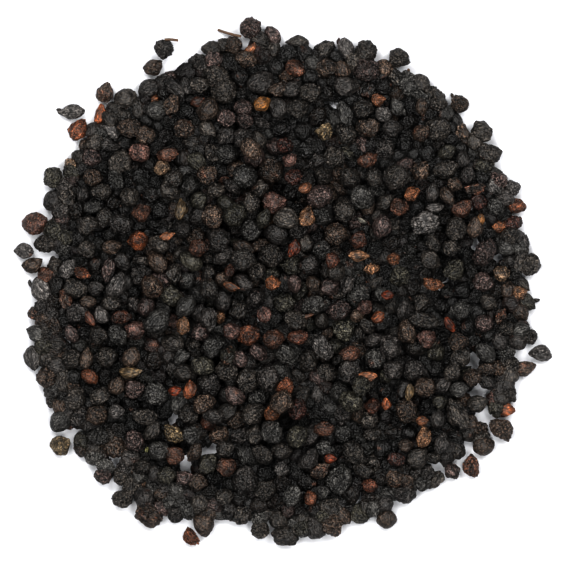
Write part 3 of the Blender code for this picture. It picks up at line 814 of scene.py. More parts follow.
# The same, for berries that lie on top of the heap.
ON_TOP = (
    ("smooth", -5.4, 43.0, 30, 6.0, 5.2, "ink"),
    ("crinkled", -13.7, 41.1, 20, 5.6, 5.2, "black"),
    ("crinkled", -15.4, 44.6, -20, 5.8, 5.0, "black", 0.1),
    ("sunken", 30.2, 12.4, 20, 6.1, 5.3, "grey"),
    ("crinkled", 23.9, 22.6, 0, 5.7, 5.4, "black"),
    ("sunken", 7.6, -14.3, -60, 6.2, 3.9, "grey"),
    ("sunken", 30.0, -8.5, -10, 6.8, 3.2, "black"),
    ("sunken", 37.0, -29.1, -60, 7.6, 4.5, "black"),
    ("crinkled", 26.1, -28.5, -50, 5.8, 4.6, "brown"),
    ("smooth", -28.0, -8.7, 40, 6.4, 4.8, "slate"),
    ("unripe", -32.4, 8.7, 20, 4.4, 4.1, "orange"),
    ("seed", -5.3, 38.5, 30, 3.9, 3.1, "amber"),
    ("unripe", 19.9, 39.3, 10, 3.0, 2.8, "orange_brown"),
    ("seed", 1.6, 7.0, 70, 4.0, 2.6, "red_orange"),
    ("unripe", -3.0, -0.5, 0, 3.4, 3.1, "orange_brown"),
    ("unripe", 9.9, 4.5, 80, 3.6, 2.9, "red_brown"),
    ("seed", 15.7, 5.4, 0, 4.6, 2.5, "tan_brown"),
    ("unripe", 15.7, 8.9, 60, 4.0, 3.6, "red_brown"),
    ("unripe", -2.7, 16.9, 0, 5.1, 4.8, "pink_brown", 0.12),
    ("unripe", 4.5, 14.1, 75, 4.6, 3.4, "tan_brown"),
    ("unripe", -12.4, 2.1, 80, 3.0, 2.4, "red_brown"),
    ("seed", -12.1, -1.3, -20, 3.6, 1.9, "orange_brown"),
    ("unripe", -19.2, 7.1, 0, 4.2, 3.9, "dark_russet"),
    ("unripe", -8.4, -11.8, 10, 5.0, 4.2, "russet"),
    ("unripe", -2.9, -12.6, 0, 4.7, 4.2, "dark_russet"),
    ("unripe", 2.3, -12.3, 10, 4.6, 3.1, "red_brown"),
    ("seed", 19.9, -7.9, 30, 3.0, 2.4, "orange"),
    ("unripe", -12.0, -11.0, 0, 3.7, 3.5, "pink_brown"),
    ("unripe", -5.0, -7.3, 90, 3.5, 3.1, "pink_brown"),
    ("unripe", 13.7, -15.8, 15, 4.6, 3.2, "dark_russet"),
    ("seed", 17.6, -20.8, 0, 4.1, 2.1, "orange_brown"),
    ("seed", -22.9, 15.6, 85, 4.6, 2.7, "tan"),
    ("seed", -26.0, 9.8, 15, 3.4, 1.7, "orange_brown"),
    ("unripe", -31.6, 14.8, 20, 4.2, 3.8, "dark_russet"),
    ("unripe", -36.0, -7.8, 5, 4.6, 2.8, "red_brown"),
    ("seed", -42.9, -8.3, -60, 3.6, 1.9, "red_brown"),
    ("unripe", -33.1, -10.8, 0, 4.3, 3.9, "pink_brown"),
    ("unripe", -22.6, -9.7, 80, 3.9, 2.9, "tan_brown"),
    ("seed", -34.0, -19.9, 0, 5.2, 2.4, "tan"),
    ("unripe", -42.9, -20.8, -40, 4.1, 2.8, "russet", 0.2),
    ("unripe", -44.5, 1.6, -25, 3.7, 2.5, "russet"),
    ("sunken", -48.0, -4.0, 105, 4.8, 3.0, "brown", 0.3),
    ("unripe", 27.2, 19.0, 30, 3.5, 3.1, "orange_brown"),
    ("unripe", 24.5, 16.1, 0, 4.1, 3.7, "dark_russet", 0.1),
    ("unripe", 38.3, 15.7, 25, 4.8, 3.3, "dark_russet", 0.2),
    ("seed", 42.1, 13.2, 80, 2.9, 1.8, "amber"),
    ("crinkled", 41.8, 17.2, 0, 3.6, 3.4, "maroon"),
    ("unripe", 31.8, -0.8, -12, 4.6, 2.6, "orange_brown"),
    ("seed", 21.9, -3.1, 0, 2.7, 2.0, "red_orange"),
    ("seed", 35.4, -9.5, -55, 3.6, 1.9, "red_orange"),
    ("unripe", 30.4, -12.6, 0, 4.2, 3.9, "pink_brown"),
    ("unripe", 23.1, 4.8, 0, 2.9, 2.6, "orange_brown"),
    ("crinkled", 37.3, -13.2, 0, 4.2, 3.8, "brown", 0.15),
    ("ringed", 46.6, 1.6, 0, 3.6, 3.3, "golden"),
    ("unripe", -3.2, -28.5, 80, 4.0, 3.2, "orange_brown"),
    ("unripe", -0.5, -23.2, 70, 4.6, 3.5, "russet"),
    ("seed", -21.0, -23.6, 80, 4.0, 2.7, "orange"),
    ("seed", -24.4, -23.9, 10, 2.9, 2.1, "red_orange"),
    ("crinkled", 2.2, -28.0, 80, 4.6, 3.9, "maroon"),
    ("unripe", 8.1, -32.1, 0, 4.4, 3.1, "dark_russet"),
    ("seed", 9.5, -38.6, 0, 2.6, 2.0, "red_orange"),
    ("unripe", 5.1, -47.2, 90, 3.3, 2.7, "russet"),
    ("unripe", 18.1, -44.5, 0, 3.3, 3.0, "red_brown"),
    ("unripe", 18.7, -27.2, 0, 3.7, 3.4, "red_brown"),
    ("seed", 21.6, -26.7, 90, 2.6, 2.0, "orange"),
    ("seed", 29.4, -30.4, 0, 2.7, 2.1, "orange_brown"),
    ("unripe", 29.8, -34.0, 75, 4.4, 3.5, "tan_brown"),
    ("seed", 26.7, -24.2, 85, 3.6, 1.9, "tan"),
    ("crinkled", 23.3, -43.0, 0, 4.2, 3.9, "brown", 0.1),
    ("unripe", -24.5, -38.0, 0, 4.2, 3.9, "dark_russet"),
    ("unripe", -13.2, -40.5, 0, 4.3, 3.9, "dark_russet", 0.1),
    ("crinkled", -9.0, -43.3, 80, 6.2, 5.6, "ink"),
    ("crinkled", -19.4, -43.8, 0, 4.3, 3.9, "brown"),
    ("seed", -28.9, 39.2, 35, 4.1, 2.1, "orange_brown"),
    ("unripe", -26.0, 27.4, 10, 4.6, 2.8, "dark_russet"),
    ("unripe", -27.1, 24.5, 0, 3.5, 3.1, "golden"),
    ("crinkled", -22.3, 33.2, 0, 4.3, 3.9, "brown", 0.1),
    ("crinkled", -30.8, 31.8, 0, 4.3, 3.9, "brown"),
    ("unripe", -32.1, 27.9, 0, 4.4, 4.0, "pink_brown"),
    ("unripe", 1.8, 46.2, -25, 4.6, 3.4, "dark_russet", 0.2),
    ("seed", -19.4, 39.0, 20, 3.2, 2.2, "red_brown"),
    ("sunken", 8.2, 32.3, 30, 3.8, 3.3, "olive_brown"),
    ("unripe", 0.7, 26.3, 20, 3.2, 2.7, "pink_brown"),
    ("crinkled", -0.4, 29.4, 0, 3.6, 3.3, "maroon"),
    ("unripe", 17.6, 26.3, 20, 4.6, 3.1, "dark_russet", 0.1),
    ("seed", 3.9, 20.2, 30, 3.0, 2.2, "orange_brown"),
    ("crinkled", 1.4, 22.6, 10, 3.9, 3.4, "maroon", 0.1),
    ("crinkled", -17.4, 22.9, 0, 4.4, 4.0, "brown", 0.2),
    ("crinkled", 29.1, 32.1, 40, 4.2, 3.5, "brown", 0.2),
    ("crinkled", -8.7, 48.2, 20, 5.0, 4.4, "brown"),
    ("smooth", -32.4, 37.6, 100, 5.0, 3.2, "black"),
    ("smooth", -28.0, 37.2, 30, 5.0, 4.0, "slate"),
    ("crinkled", -35.8, 35.7, 0, 4.2, 3.6, "black"),
    ("sunken", -24.2, 41.6, -40, 4.8, 2.8, "ink"),
    ("sunken", -21.8, 42.3, -60, 4.2, 3.0, "ink"),
    ("crinkled", -19.0, 42.6, 0, 4.0, 3.4, "black"),
    ("smooth", -17.0, 37.4, 60, 5.8, 4.8, "brown"),
    ("sunken", -25.0, 38.4, 60, 4.6, 3.4, "brown"),
    ("crinkled", -9.4, 37.7, 0, 4.2, 3.8, "purple"),
    ("crinkled", -9.2, 34.9, 0, 3.6, 3.4, "purple"),
    ("smooth", -1.8, 37.6, 110, 5.0, 3.8, "ink"),
    ("sunken", -1.6, 41.7, 30, 5.0, 3.0, "brown"),
    ("smooth", 5.6, 47.4, 0, 3.3, 3.0, "slate"),
    ("crinkled", 8.6, 46.3, 0, 5.0, 4.2, "brown"),
    ("smooth", 12.0, 45.9, 110, 4.6, 3.6, "brown", 0.1),
    ("crinkled", 17.5, 45.8, 10, 6.4, 4.6, "purple"),
    ("smooth", 13.0, 42.2, 0, 5.6, 4.0, "ink"),
    ("smooth", 1.2, 41.7, 30, 4.4, 3.4, "ink"),
    ("crinkled", 5.0, 41.0, 0, 4.6, 3.8, "black"),
    ("sunken", 2.5, 37.5, 20, 5.4, 4.0, "black"),
    ("crinkled", 16.6, 37.3, 0, 4.4, 4.2, "black"),
    ("smooth", 20.9, 36.3, -30, 3.8, 3.2, "grey"),
    ("sunken", 23.9, 37.6, -50, 4.6, 3.2, "slate"),
    ("smooth", 29.3, 38.0, 90, 3.6, 2.6, "brown"),
    ("crinkled", 32.8, 33.0, 20, 5.6, 5.0, "black"),
    ("crinkled", 26.8, 42.0, 0, 4.6, 4.2, "slate"),
    ("sunken", 23.6, 44.0, -40, 5.2, 3.4, "black"),
    ("sunken", 12.5, 36.5, 110, 5.6, 3.2, "slate"),
    ("crinkled", 17.5, 33.3, 0, 5.0, 4.0, "brown", 0.1),
    ("smooth", 22.9, 33.2, 0, 4.2, 3.6, "ink"),
    ("smooth", -38.6, 32.7, -50, 5.0, 3.4, "grey"),
    ("crinkled", -34.4, 33.2, 0, 5.2, 4.0, "brown"),
    ("sunken", -38.3, 29.5, -15, 4.4, 2.6, "ink"),
    ("crinkled", -36.2, 25.8, 60, 5.8, 4.8, "black"),
    ("crinkled", -37.2, 22.2, -60, 4.6, 3.0, "slate"),
    ("crinkled", -42.2, 22.4, 0, 4.2, 3.8, "brown"),
    ("crinkled", -40.4, 19.4, 10, 4.6, 3.4, "black"),
    ("smooth", -44.3, 19.0, 80, 3.2, 2.6, "ink"),
    ("crinkled", -42.3, 16.2, 10, 3.6, 2.8, "slate"),
    ("crinkled", -43.4, 12.2, 0, 4.4, 4.2, "black"),
    ("crinkled", -39.8, 13.6, 70, 4.4, 3.6, "black"),
    ("crinkled", -36.0, 12.4, 0, 5.4, 4.4, "ink"),
    ("crinkled", -47.8, 18.2, 0, 4.2, 4.0, "black"),
    ("crinkled", -34.2, 18.2, 0, 4.2, 4.0, "black"),
    ("smooth", 38.8, 31.0, -70, 5.0, 2.6, "brown"),
    ("smooth", 41.3, 25.2, -60, 3.6, 2.6, "brown"),
    ("smooth", 38.3, 26.6, 90, 3.6, 2.8, "ink"),
    ("crinkled", 34.6, 24.3, 10, 5.6, 4.0, "black"),
    ("smooth", 34.8, 28.0, 30, 4.2, 3.0, "olive"),
    ("sunken", 41.0, 20.0, 10, 4.6, 2.4, "brown", 0.3),
    ("crinkled", 39.2, 22.9, 60, 4.0, 3.2, "ink"),
    ("crinkled", 36.5, 21.0, -30, 3.2, 3.0, "brown", 0.1),
    ("ringed", 45.3, 16.2, 90, 3.8, 3.6, "slate"),
    ("smooth", 34.9, 18.4, -60, 4.4, 2.8, "brown"),
    ("smooth", 31.7, 19.2, 80, 4.2, 2.8, "ink"),
    ("smooth", 32.3, 15.9, 5, 4.0, 2.2, "grey"),
    ("crinkled", 36.8, 11.4, 80, 5.4, 4.4, "black"),
    ("smooth", 41.0, 11.6, 80, 4.6, 3.4, "brown"),
    ("crinkled", 43.0, 6.2, 60, 6.2, 4.2, "purple"),
    ("smooth", 47.4, 7.2, -30, 4.2, 3.2, "slate"),
    ("smooth", 48.7, 4.2, 0, 3.4, 3.0, "ink"),
    ("crinkled", 31.7, 8.2, -50, 4.0, 2.8, "black"),
    ("smooth", 31.2, 4.6, -40, 4.8, 3.8, "black"),
    ("crinkled", 35.7, 7.0, 0, 3.8, 3.4, "black"),
    ("crinkled", 36.5, 2.4, 45, 5.0, 4.2, "olive"),
    ("crinkled", 42.8, -0.2, -20, 4.6, 4.0, "purple"),
    ("smooth", 48.1, -1.8, 80, 3.6, 3.0, "brown", 0.15),
    ("smooth", 43.9, -4.6, -30, 3.8, 3.2, "black"),
    ("crinkled", 37.8, -6.4, 0, 4.4, 4.2, "slate"),
    ("crinkled", 42.9, -9.2, 0, 3.8, 3.6, "purple"),
    ("sunken", 46.6, -7.6, 60, 3.8, 2.4, "brown", 0.25),
    ("crinkled", 48.0, -10.2, 30, 4.0, 3.4, "black"),
    ("smooth", 46.3, -13.4, -60, 4.2, 3.0, "ink"),
    ("smooth", 43.2, -15.6, -45, 5.0, 3.6, "slate"),
    ("crinkled", 43.5, -19.2, 0, 4.0, 2.6, "brown"),
    ("crinkled", 37.6, -16.6, 45, 4.8, 4.0, "black"),
    ("crinkled", 36.0, -19.8, 60, 4.6, 3.6, "black"),
    ("crinkled", 40.4, -21.0, 0, 4.0, 3.8, "brown"),
    ("sunken", 43.4, -21.9, -40, 4.2, 3.2, "ink"),
    ("smooth", 34.0, -22.6, 30, 4.2, 3.0, "ink"),
    ("smooth", 37.4, -23.6, 10, 4.2, 3.4, "slate"),
    ("crinkled", 29.9, -23.2, 0, 4.6, 4.2, "brown"),
    ("smooth", 33.3, -26.4, 10, 3.2, 3.0, "olive"),
    ("smooth", 32.8, -30.0, 80, 4.0, 3.2, "ink"),
    ("smooth", 41.6, -26.7, 10, 4.6, 3.6, "black"),
    ("crinkled", 41.6, -32.4, 30, 4.4, 3.2, "brown"),
    ("smooth", 25.8, -35.8, 0, 3.4, 3.0, "brown"),
    ("smooth", 28.6, -38.4, 40, 5.0, 4.0, "black"),
    ("crinkled", 32.0, -38.4, 0, 3.4, 2.8, "black"),
    ("smooth", 33.8, -35.2, 70, 4.8, 3.2, "ink"),
    ("smooth", 5.0, -38.8, 50, 5.4, 3.6, "ink"),
    ("sunken", 7.4, -41.2, 35, 4.6, 3.2, "brown", 0.2),
    ("crinkled", 11.4, -42.8, 60, 6.6, 5.4, "slate"),
    ("crinkled", 14.6, -37.6, -50, 6.0, 4.4, "black"),
    ("crinkled", 16.4, -41.2, -20, 4.6, 3.0, "black"),
    ("sunken", 8.4, -36.4, -30, 4.2, 3.0, "slate"),
    ("crinkled", 7.6, -46.0, 0, 3.2, 3.0, "slate"),
    ("crinkled", 9.2, -48.8, 20, 5.2, 3.8, "black"),
    ("crinkled", 1.2, -46.6, 60, 5.0, 3.8, "slate"),
    ("crinkled", 23.7, -38.8, 0, 3.8, 2.8, "maroon"),
    ("crinkled", -5.4, -37.6, -45, 5.0, 3.6, "black"),
    ("crinkled", -1.0, -36.8, 0, 4.6, 3.6, "black"),
    ("crinkled", -1.2, -40.8, 0, 3.2, 3.0, "grey"),
    ("crinkled", -4.7, -45.6, 30, 4.6, 4.2, "black"),
    ("crinkled", -13.7, -47.0, 0, 4.0, 3.6, "black"),
    ("smooth", -19.0, -48.4, 80, 5.0, 4.0, "black"),
    ("crinkled", -23.3, -48.0, 10, 4.0, 3.4, "slate"),
    ("crinkled", -22.2, -42.8, 0, 3.6, 3.0, "purple"),
    ("crinkled", -17.2, -39.6, 45, 5.0, 4.0, "olive"),
    ("sunken", -20.1, -37.4, 70, 4.4, 2.8, "brown"),
    ("crinkled", -13.4, -36.6, 0, 4.0, 3.6, "black"),
    ("crinkled", -27.8, -37.0, 0, 4.4, 4.2, "slate"),
    ("crinkled", -26.2, -42.2, 0, 4.0, 3.8, "olive"),
    ("smooth", -28.9, -41.8, 80, 3.6, 2.4, "ink"),
    ("crinkled", -24.8, -33.2, -40, 4.9, 3.4, "olive_brown"),
    ("crinkled", 0.2, -49.6, 80, 3.6, 2.8, "purple", 0.1),
    ("smooth", -4.4, -50.8, 0, 3.6, 2.8, "black"),
    ("crinkled", -46.0, -25.6, 60, 5.4, 4.2, "black"),
    ("smooth", -48.9, -22.6, -60, 4.8, 3.4, "black"),
    ("crinkled", -40.6, -25.0, 20, 4.6, 3.6, "black"),
    ("smooth", -36.9, -22.8, 60, 4.0, 3.4, "brown"),
    ("crinkled", -33.2, -23.6, 0, 4.0, 3.8, "purple"),
    ("crinkled", -28.4, -24.6, -30, 5.4, 4.6, "slate"),
    ("smooth", -37.0, -28.4, 0, 3.4, 3.2, "grey"),
    ("crinkled", -41.4, -29.2, 0, 4.4, 4.2, "brown"),
    ("crinkled", -31.0, -29.6, -10, 5.6, 3.4, "black"),
    ("smooth", -29.3, -32.6, 50, 4.6, 3.0, "black"),
    ("crinkled", -33.2, -34.8, -60, 5.0, 4.0, "purple"),
    ("crinkled", -41.0, -33.8, 0, 4.8, 3.4, "slate"),
    ("crinkled", -33.4, -41.0, 0, 3.4, 3.2, "brown"),
    ("crinkled", -31.4, -40.6, 0, 3.6, 3.2, "black"),
    ("seed", -47.2, -31.4, 20, 2.4, 1.8, "dark_russet"),
    ("crinkled", -48.2, 9.6, 0, 3.8, 3.6, "olive"),
    ("crinkled", -48.6, 6.8, 20, 3.6, 3.0, "slate"),
    ("crinkled", -43.6, 6.8, 0, 3.8, 3.8, "black"),
    ("crinkled", -47.6, 2.6, 60, 4.6, 3.4, "grey"),
    ("crinkled", -45.9, -1.7, -20, 5.2, 4.0, "black"),
    ("smooth", -41.6, -1.6, 0, 3.6, 3.2, "ink"),
    ("smooth", -36.9, -0.9, 60, 5.6, 3.6, "grey"),
    ("sunken", -38.8, 2.2, 80, 5.0, 2.6, "purple"),
    ("smooth", -35.8, 4.2, -60, 4.0, 3.2, "ink"),
    ("smooth", -38.0, 7.3, 10, 4.4, 3.0, "brown"),
    ("crinkled", -45.6, -6.9, 0, 4.6, 4.0, "ink"),
    ("smooth", -40.4, -7.4, -60, 4.0, 2.9, "grey"),
    ("crinkled", -38.2, -4.8, 0, 4.2, 3.2, "black"),
    ("smooth", -43.2, -4.5, 0, 3.6, 2.6, "brown"),
    ("smooth", -46.9, -11.6, -55, 4.2, 2.7, "purple"),
    ("crinkled", -50.9, -12.0, 70, 4.2, 2.8, "purple"),
    ("crinkled", -40.9, -11.8, 0, 4.0, 3.8, "black"),
    ("crinkled", -36.8, -11.8, -50, 5.2, 3.8, "slate"),
    ("crinkled", -46.6, -17.0, 0, 4.4, 4.2, "black"),
    ("smooth", -43.6, -16.8, 80, 4.8, 2.8, "brown"),
    ("crinkled", -39.2, -16.6, 0, 4.6, 4.4, "black"),
    ("smooth", -33.9, -16.6, 70, 4.6, 3.6, "brown"),
)
# Places where the table shows through, and the radius of each bare spot.
BARE_SPOTS = (
    (-40.6, 10.0, 0.4), (9.4, 38.8, 0.4), (-25.0, -29.5, 0.6), (-45.4, -32.4, 0.9),
    (-37.2, -38.8, 0.8), (-22.0, -40.3, 0.8), (-17.0, -36.5, 0.6), (-14.8, -44.6, 0.6),
    (40.2, -17.6, 1.2), (43.0, -13.8, 0.7), (41.3, -24.0, 0.9), (42.6, -29.3, 1.5),
    (39.4, -36.0, 1.2), (32.4, -40.2, 0.8), (15.9, -47.2, 0.5), (41.0, 9.0, 0.5),
    (45.8, 5.0, 0.5), (-47.5, -12.4, 0.6), (-50.6, 5.2, 0.9), (50.4, -15.9, 1.0),
)
HEAP_MIDDLE = Vector((0.86 * MM, 0.17 * MM, 0.0))
print("placed by hand:", len(SECOND_ROW), "in the second row,", len(ON_TOP), "on top")

# %% Find the mound's surface
heap = frame["nodes"]["heaped_berries"].data
mound = BVHTree.FromPolygons([v.co for v in heap.vertices], [f.vertices for f in heap.polygons])


def mound_top(mound, place, reach=1.0):
    """The mound's height at a point, its outline drawn in to a share; None beside the mound."""
    start = Vector((place.x / reach, place.y / reach, 1.0))
    hit = mound.ray_cast(start, Vector((0, 0, -1)))[0]
    return hit and hit.z


print("the mound is", round(mound_top(mound, HEAP_MIDDLE) / MM, 1), "mm high in the middle")

# %% Set down the listed berries
SHAPES_PER_KIND = 16  # in the stock that the berries which aren't listed share
SWELL = 1.07  # of the berries on top, listed as large as their neighbours leave them in sight
SUNK = 0.38  # share of its height that such a berry's middle lies below the mound's surface
TILT_ON_TOP, TILT_ON_TABLE = 0.3, 0.12  # at most, in radians


def by_hand(rows, mound=None):
    """Berries where a list has them: on the table, or sunk into the mound's surface."""
    made = []
    swell = SWELL if mound else 1
    for kind, x, y, heading, length, width, tint, *warm in rows:
        shape = new_shape(kind, CHANCE, length * swell, width * swell)
        place = Vector((x * MM, y * MM, 0)) + HEAP_MIDDLE
        top = (mound_top(mound, place) or 0) if mound else 0
        place.z = max(top - shape["Height"] * SUNK, shape["Height"] * 0.5)
        tilt = TILT_ON_TOP if mound else TILT_ON_TABLE
        turn = Euler((CHANCE.uniform(-tilt, tilt), CHANCE.uniform(-tilt, tilt),
                      math.radians(heading)))
        made.append(Berry(kind, shape, place, turn, TINTS[tint], *warm, fixed=True))
    return made


STOCK = {kind: [new_shape(kind, CHANCE) for _ in range(SHAPES_PER_KIND)] for kind in KINDS}
second_row = by_hand(SECOND_ROW)
on_top = by_hand(ON_TOP, mound)
RIM = [*EDGE_BERRIES, *second_row]
print(len(RIM) + len(on_top), "berries stay where they are put,", len(on_top), "of them on top")

# %% Draw any other berry
SHARES = (("crinkled", 0.42), ("smooth", 0.26), ("sunken", 0.22), ("ringed", 0.05),
          ("unripe", 0.05), ("seed", 0.01))  # weights, for the berries that aren't listed
COLOURED_TINTS = ("red_brown", "dark_russet", "pink_brown", "tan_brown", "brown", "maroon")
WARMTHS = (0.0, 0.0, 0.0, 0.0, 0.0, 0.06, 0.12)  # most berries have none
TUMBLE = 0.6  # radians that such a berry is tilted at most


def any_berry(place):
    """A berry of a random kind, shape, turn and tint."""
    kind = CHANCE.choices(*zip(*SHARES))[0]
    turn = Euler((CHANCE.uniform(-TUMBLE, TUMBLE), CHANCE.uniform(-TUMBLE, TUMBLE),
                  CHANCE.uniform(0, math.tau)))
    tints = COLOURED_TINTS if kind in ("unripe", "seed") else RIPE_TINTS
    return Berry(kind, CHANCE.choice(STOCK[kind]), place, turn, TINTS[CHANCE.choice(tints)],
                 CHANCE.choice(WARMTHS))


print(len(SHARES), "kinds to draw from,", SHAPES_PER_KIND, "shapes of each")

# %% Rain them down
LAYER_REACH = (1.06, 1.06, 1.03, 0.96, 0.86, 0.68)  # share of the outline's radius
LATTICE = 6.3 * MM  # between neighbours in one loose layer
LATTICE_REACH = 70 * MM  # from the middle to the lattice's sides
DRIFT = 3  # millimetres that each layer may be moved, so that the layers don't line up
JITTER = 0.06  # of the lattice spacing, so that no two start out touching
FIRST_HEIGHT, LAYER_RISE = 2.8 * MM, 5.4 * MM
CLEARANCE = 1.02  # share of two berries' radii together that their middles keep at the start
RIM_ALIKE = math.cos(math.radians(8))  # directions closer than this count as the same
BARE = [(Vector((x, y, 0)) * MM + HEAP_MIDDLE, radius * MM) for x, y, radius in BARE_SPOTS]


def inside_rim(place, margin=0.0):
    """Whether a berry of the rim lies further out in nearly the same direction."""
    way = place.xy.normalized()
    return any(berry.place.xy.dot(way) > place.xy.length + margin
               and berry.place.xy.normalized().dot(way) > RIM_ALIKE for berry in RIM)


def lattice_points(drift):
    """A jittered hexagonal lattice over the whole table, moved by drift."""
    count = int(LATTICE_REACH / LATTICE)
    for row in range(-count, count + 1):
        for column in range(-count, count + 1):
            shake = Vector((CHANCE.uniform(-JITTER, JITTER), CHANCE.uniform(-JITTER, JITTER), 0))
            step = Vector((column + 0.5 * (row % 2), row * math.sqrt(0.75), 0))
            yield (step + shake) * LATTICE + drift


def free_to_fall(berry, fixed):
    """Whether a berry can start here: over the heap, off the bare spots and the fixed berries."""
    if not inside_rim(berry.place, berry.radius):
        return False
    if any((berry.place.xy - spot.xy).length < berry.radius + radius for spot, radius in BARE):
        return False
    return not any(
        (berry.place.xy - other.place.xy).length < CLEARANCE * (berry.radius + other.radius)
        and berry.place.z > other.place.z - berry.radius - other.radius for other in fixed)


def loose_layers(mound, fixed):
    """The berries that will fall, layer by layer, clear of those that are fixed."""
    made = []
    for layer, reach in enumerate(LAYER_REACH):
        drift = Vector((CHANCE.uniform(-DRIFT, DRIFT) * MM, CHANCE.uniform(-DRIFT, DRIFT) * MM,
                        FIRST_HEIGHT + layer * LAYER_RISE))
        for place in lattice_points(drift):
            berry = any_berry(place)
            if mound_top(mound, place, reach) is not None and free_to_fall(berry, fixed):
                made.append(berry)
    return made


loose = loose_layers(mound, [*RIM, *on_top])
BERRIES = [*second_row, *on_top, *loose]
print(len(loose), "berries start to fall, round", len(RIM) + len(on_top), "fixed ones")

# %% [markdown]
# ## Letting them fall
# Blender's rigid bodies do the stacking: each berry is the convex hull of a coarse copy of itself.
# The loose berries round the edge and the listed ones stand still, upright pegs keep the bare
# spots free, and the others fill the space round them. The solver works best with things as big as
# a football, so the heap is simulated a hundred times too large. Strong damping keeps the berries
# from rolling, and not quite two seconds are enough for them to come to rest. A skin is rounder
# than its coarse hull, so at the end each berry is lifted until all of it is clear of the table.

# %% Make bodies for the solver
ENLARGED = 100
HULL_DETAIL = 4  # points along each side of the berry's cube, for its hull
SLAB_SIDE, SLAB_DEPTH = 400 * MM, 20 * MM
PEG_HEIGHT = 80 * MM


def hull_mesh(shape, stored={}):
    """A berry's coarse hull, enlarged, made once for each shape."""
    key = shape["Seed"]
    if key not in stored:
        stored[key] = berry_mesh(shape, HULL_DETAIL)
        stored[key].transform(Matrix.Scale(ENLARGED, 4))
    return stored[key]


def add_body(mesh, place, turn):
    made = bpy.data.objects.new("body", mesh)
    made.location, made.rotation_euler = place, turn
    bpy.context.scene.collection.objects.link(made)
    return made


def make_rigid(things, kind, shape="CONVEX_HULL"):
    """Gives these objects rigid bodies: heavy friction, no bounce, strong damping."""
    for thing in bpy.context.view_layer.objects:
        thing.select_set(False)
    for thing in things:
        thing.select_set(True)
    bpy.context.view_layer.objects.active = things[0]
    bpy.ops.rigidbody.objects_add(type=kind)
    for thing in things:
        body = thing.rigid_body
        body.collision_shape = shape
        body.friction, body.restitution = 0.9, 0.0
        body.linear_damping, body.angular_damping = 0.35, 0.6
        body.use_margin, body.collision_margin = True, 0.0


def add_slab():
    """A thick slab whose upper side is the table."""
    bm = bmesh.new()
    bmesh.ops.create_cube(bm, size=1.0)
    bmesh.ops.scale(bm, verts=bm.verts, vec=(
        SLAB_SIDE * ENLARGED, SLAB_SIDE * ENLARGED, SLAB_DEPTH * ENLARGED))
    slab = bpy.data.meshes.new("slab")
    bm.to_mesh(slab)
    bm.free()
    return add_body(slab, Vector((0, 0, -SLAB_DEPTH / 2 * ENLARGED)), Euler())


def add_peg(spot, radius):
    """An upright peg that keeps the falling berries off a bare spot."""
    bm = bmesh.new()
    bmesh.ops.create_cone(bm, cap_ends=True, segments=8, radius1=radius * ENLARGED,
                          radius2=radius * ENLARGED, depth=PEG_HEIGHT * ENLARGED)
    peg = bpy.data.meshes.new("peg")
    bm.to_mesh(peg)
    bm.free()
    return add_body(peg, spot * ENLARGED, Euler())


print("a hull is made from", 6 * (HULL_DETAIL - 1) ** 2, "faces")

# %% Settle the heap
FRAMES = 44
REST_DETAIL = 9  # points along each side of the berry's cube, for the skin that clears the table
FOLD_ROOM = 0.15 * MM  # between the table and a berry, for the folds that its skin still gets
OUTLINE_REACH = 1.04  # a berry that comes to rest further out than this is taken away


def skin_points(shape, stored={}):
    """The points of a berry's skin, nearly as fine as the finished one's, made once a shape."""
    key = shape["Seed"]
    if key not in stored:
        stored[key] = np.array([v.co for v in berry_mesh(shape, REST_DETAIL).vertices])
    return stored[key]


def settle(berries):
    """Lets the berries fall, and writes where they come to rest on them."""
    scene = bpy.context.scene
    meshes = [hull_mesh(berry.shape) for berry in berries]
    bpy.ops.rigidbody.world_add()
    world = scene.rigidbody_world
    world.collection = bpy.data.collections.new("settling")
    world.substeps_per_frame, world.solver_iterations = 10, 20
    world.use_split_impulse = True
    world.point_cache.frame_end = FRAMES
    things = [add_body(mesh, berry.place * ENLARGED, berry.turn)
              for mesh, berry in zip(meshes, berries)]
    make_rigid([thing for thing, berry in zip(things, berries) if not berry.fixed], "ACTIVE")
    make_rigid([thing for thing, berry in zip(things, berries) if berry.fixed], "PASSIVE")
    pegs = [add_peg(spot, radius) for spot, radius in BARE]
    make_rigid(pegs, "PASSIVE")
    slab = add_slab()
    make_rigid([slab], "PASSIVE", "BOX")

    for number in range(1, FRAMES + 1):
        scene.frame_set(number)
    for thing, berry in zip(things, berries):
        rest = thing.matrix_world
        berry.place, berry.turn = rest.translation / ENLARGED, rest.to_euler()
        upright = np.array(berry.turn.to_matrix())[2]
        lowest = berry.place.z + float((skin_points(berry.shape) @ upright).min())
        berry.place.z += max(0.0, FOLD_ROOM - lowest)
    bpy.ops.rigidbody.world_remove()
    scene.frame_set(1)
    for thing in [*things, *pegs, slab]:
        bpy.data.objects.remove(thing)


settle([*BERRIES, *EDGE_BERRIES])
started = len(BERRIES)
BERRIES = [berry for berry in BERRIES
           if berry.fixed or mound_top(mound, berry.place, OUTLINE_REACH) is not None]
print("settled", len(BERRIES), "berries,", started - len(BERRIES), "that rolled away are gone;",
      "the highest middle is", round(max(berry.place.z for berry in BERRIES) / MM, 1), "mm up")

# %% [markdown]
# ## Closing the gaps
# A map of the heap from above shows where the white table can still be seen. In a real heap,
# small berries have trickled down to fill most of such holes, so one is put on the table in each
# of them, in the widest first, except at the bare spots and past the mound's edge, where the gaps
# between the loose berries stay open. A few crumbs of seed, skin and stalk come last. The same
# map tells later which berries show, and how much of each.

# %% Map the heap from above
MAP_STEP = 0.3 * MM
MAP_SIDE = int(130 * MM / MAP_STEP)  # points along each side of the map
SURE_SHARE = 0.86  # of its size, what an uneven berry surely covers


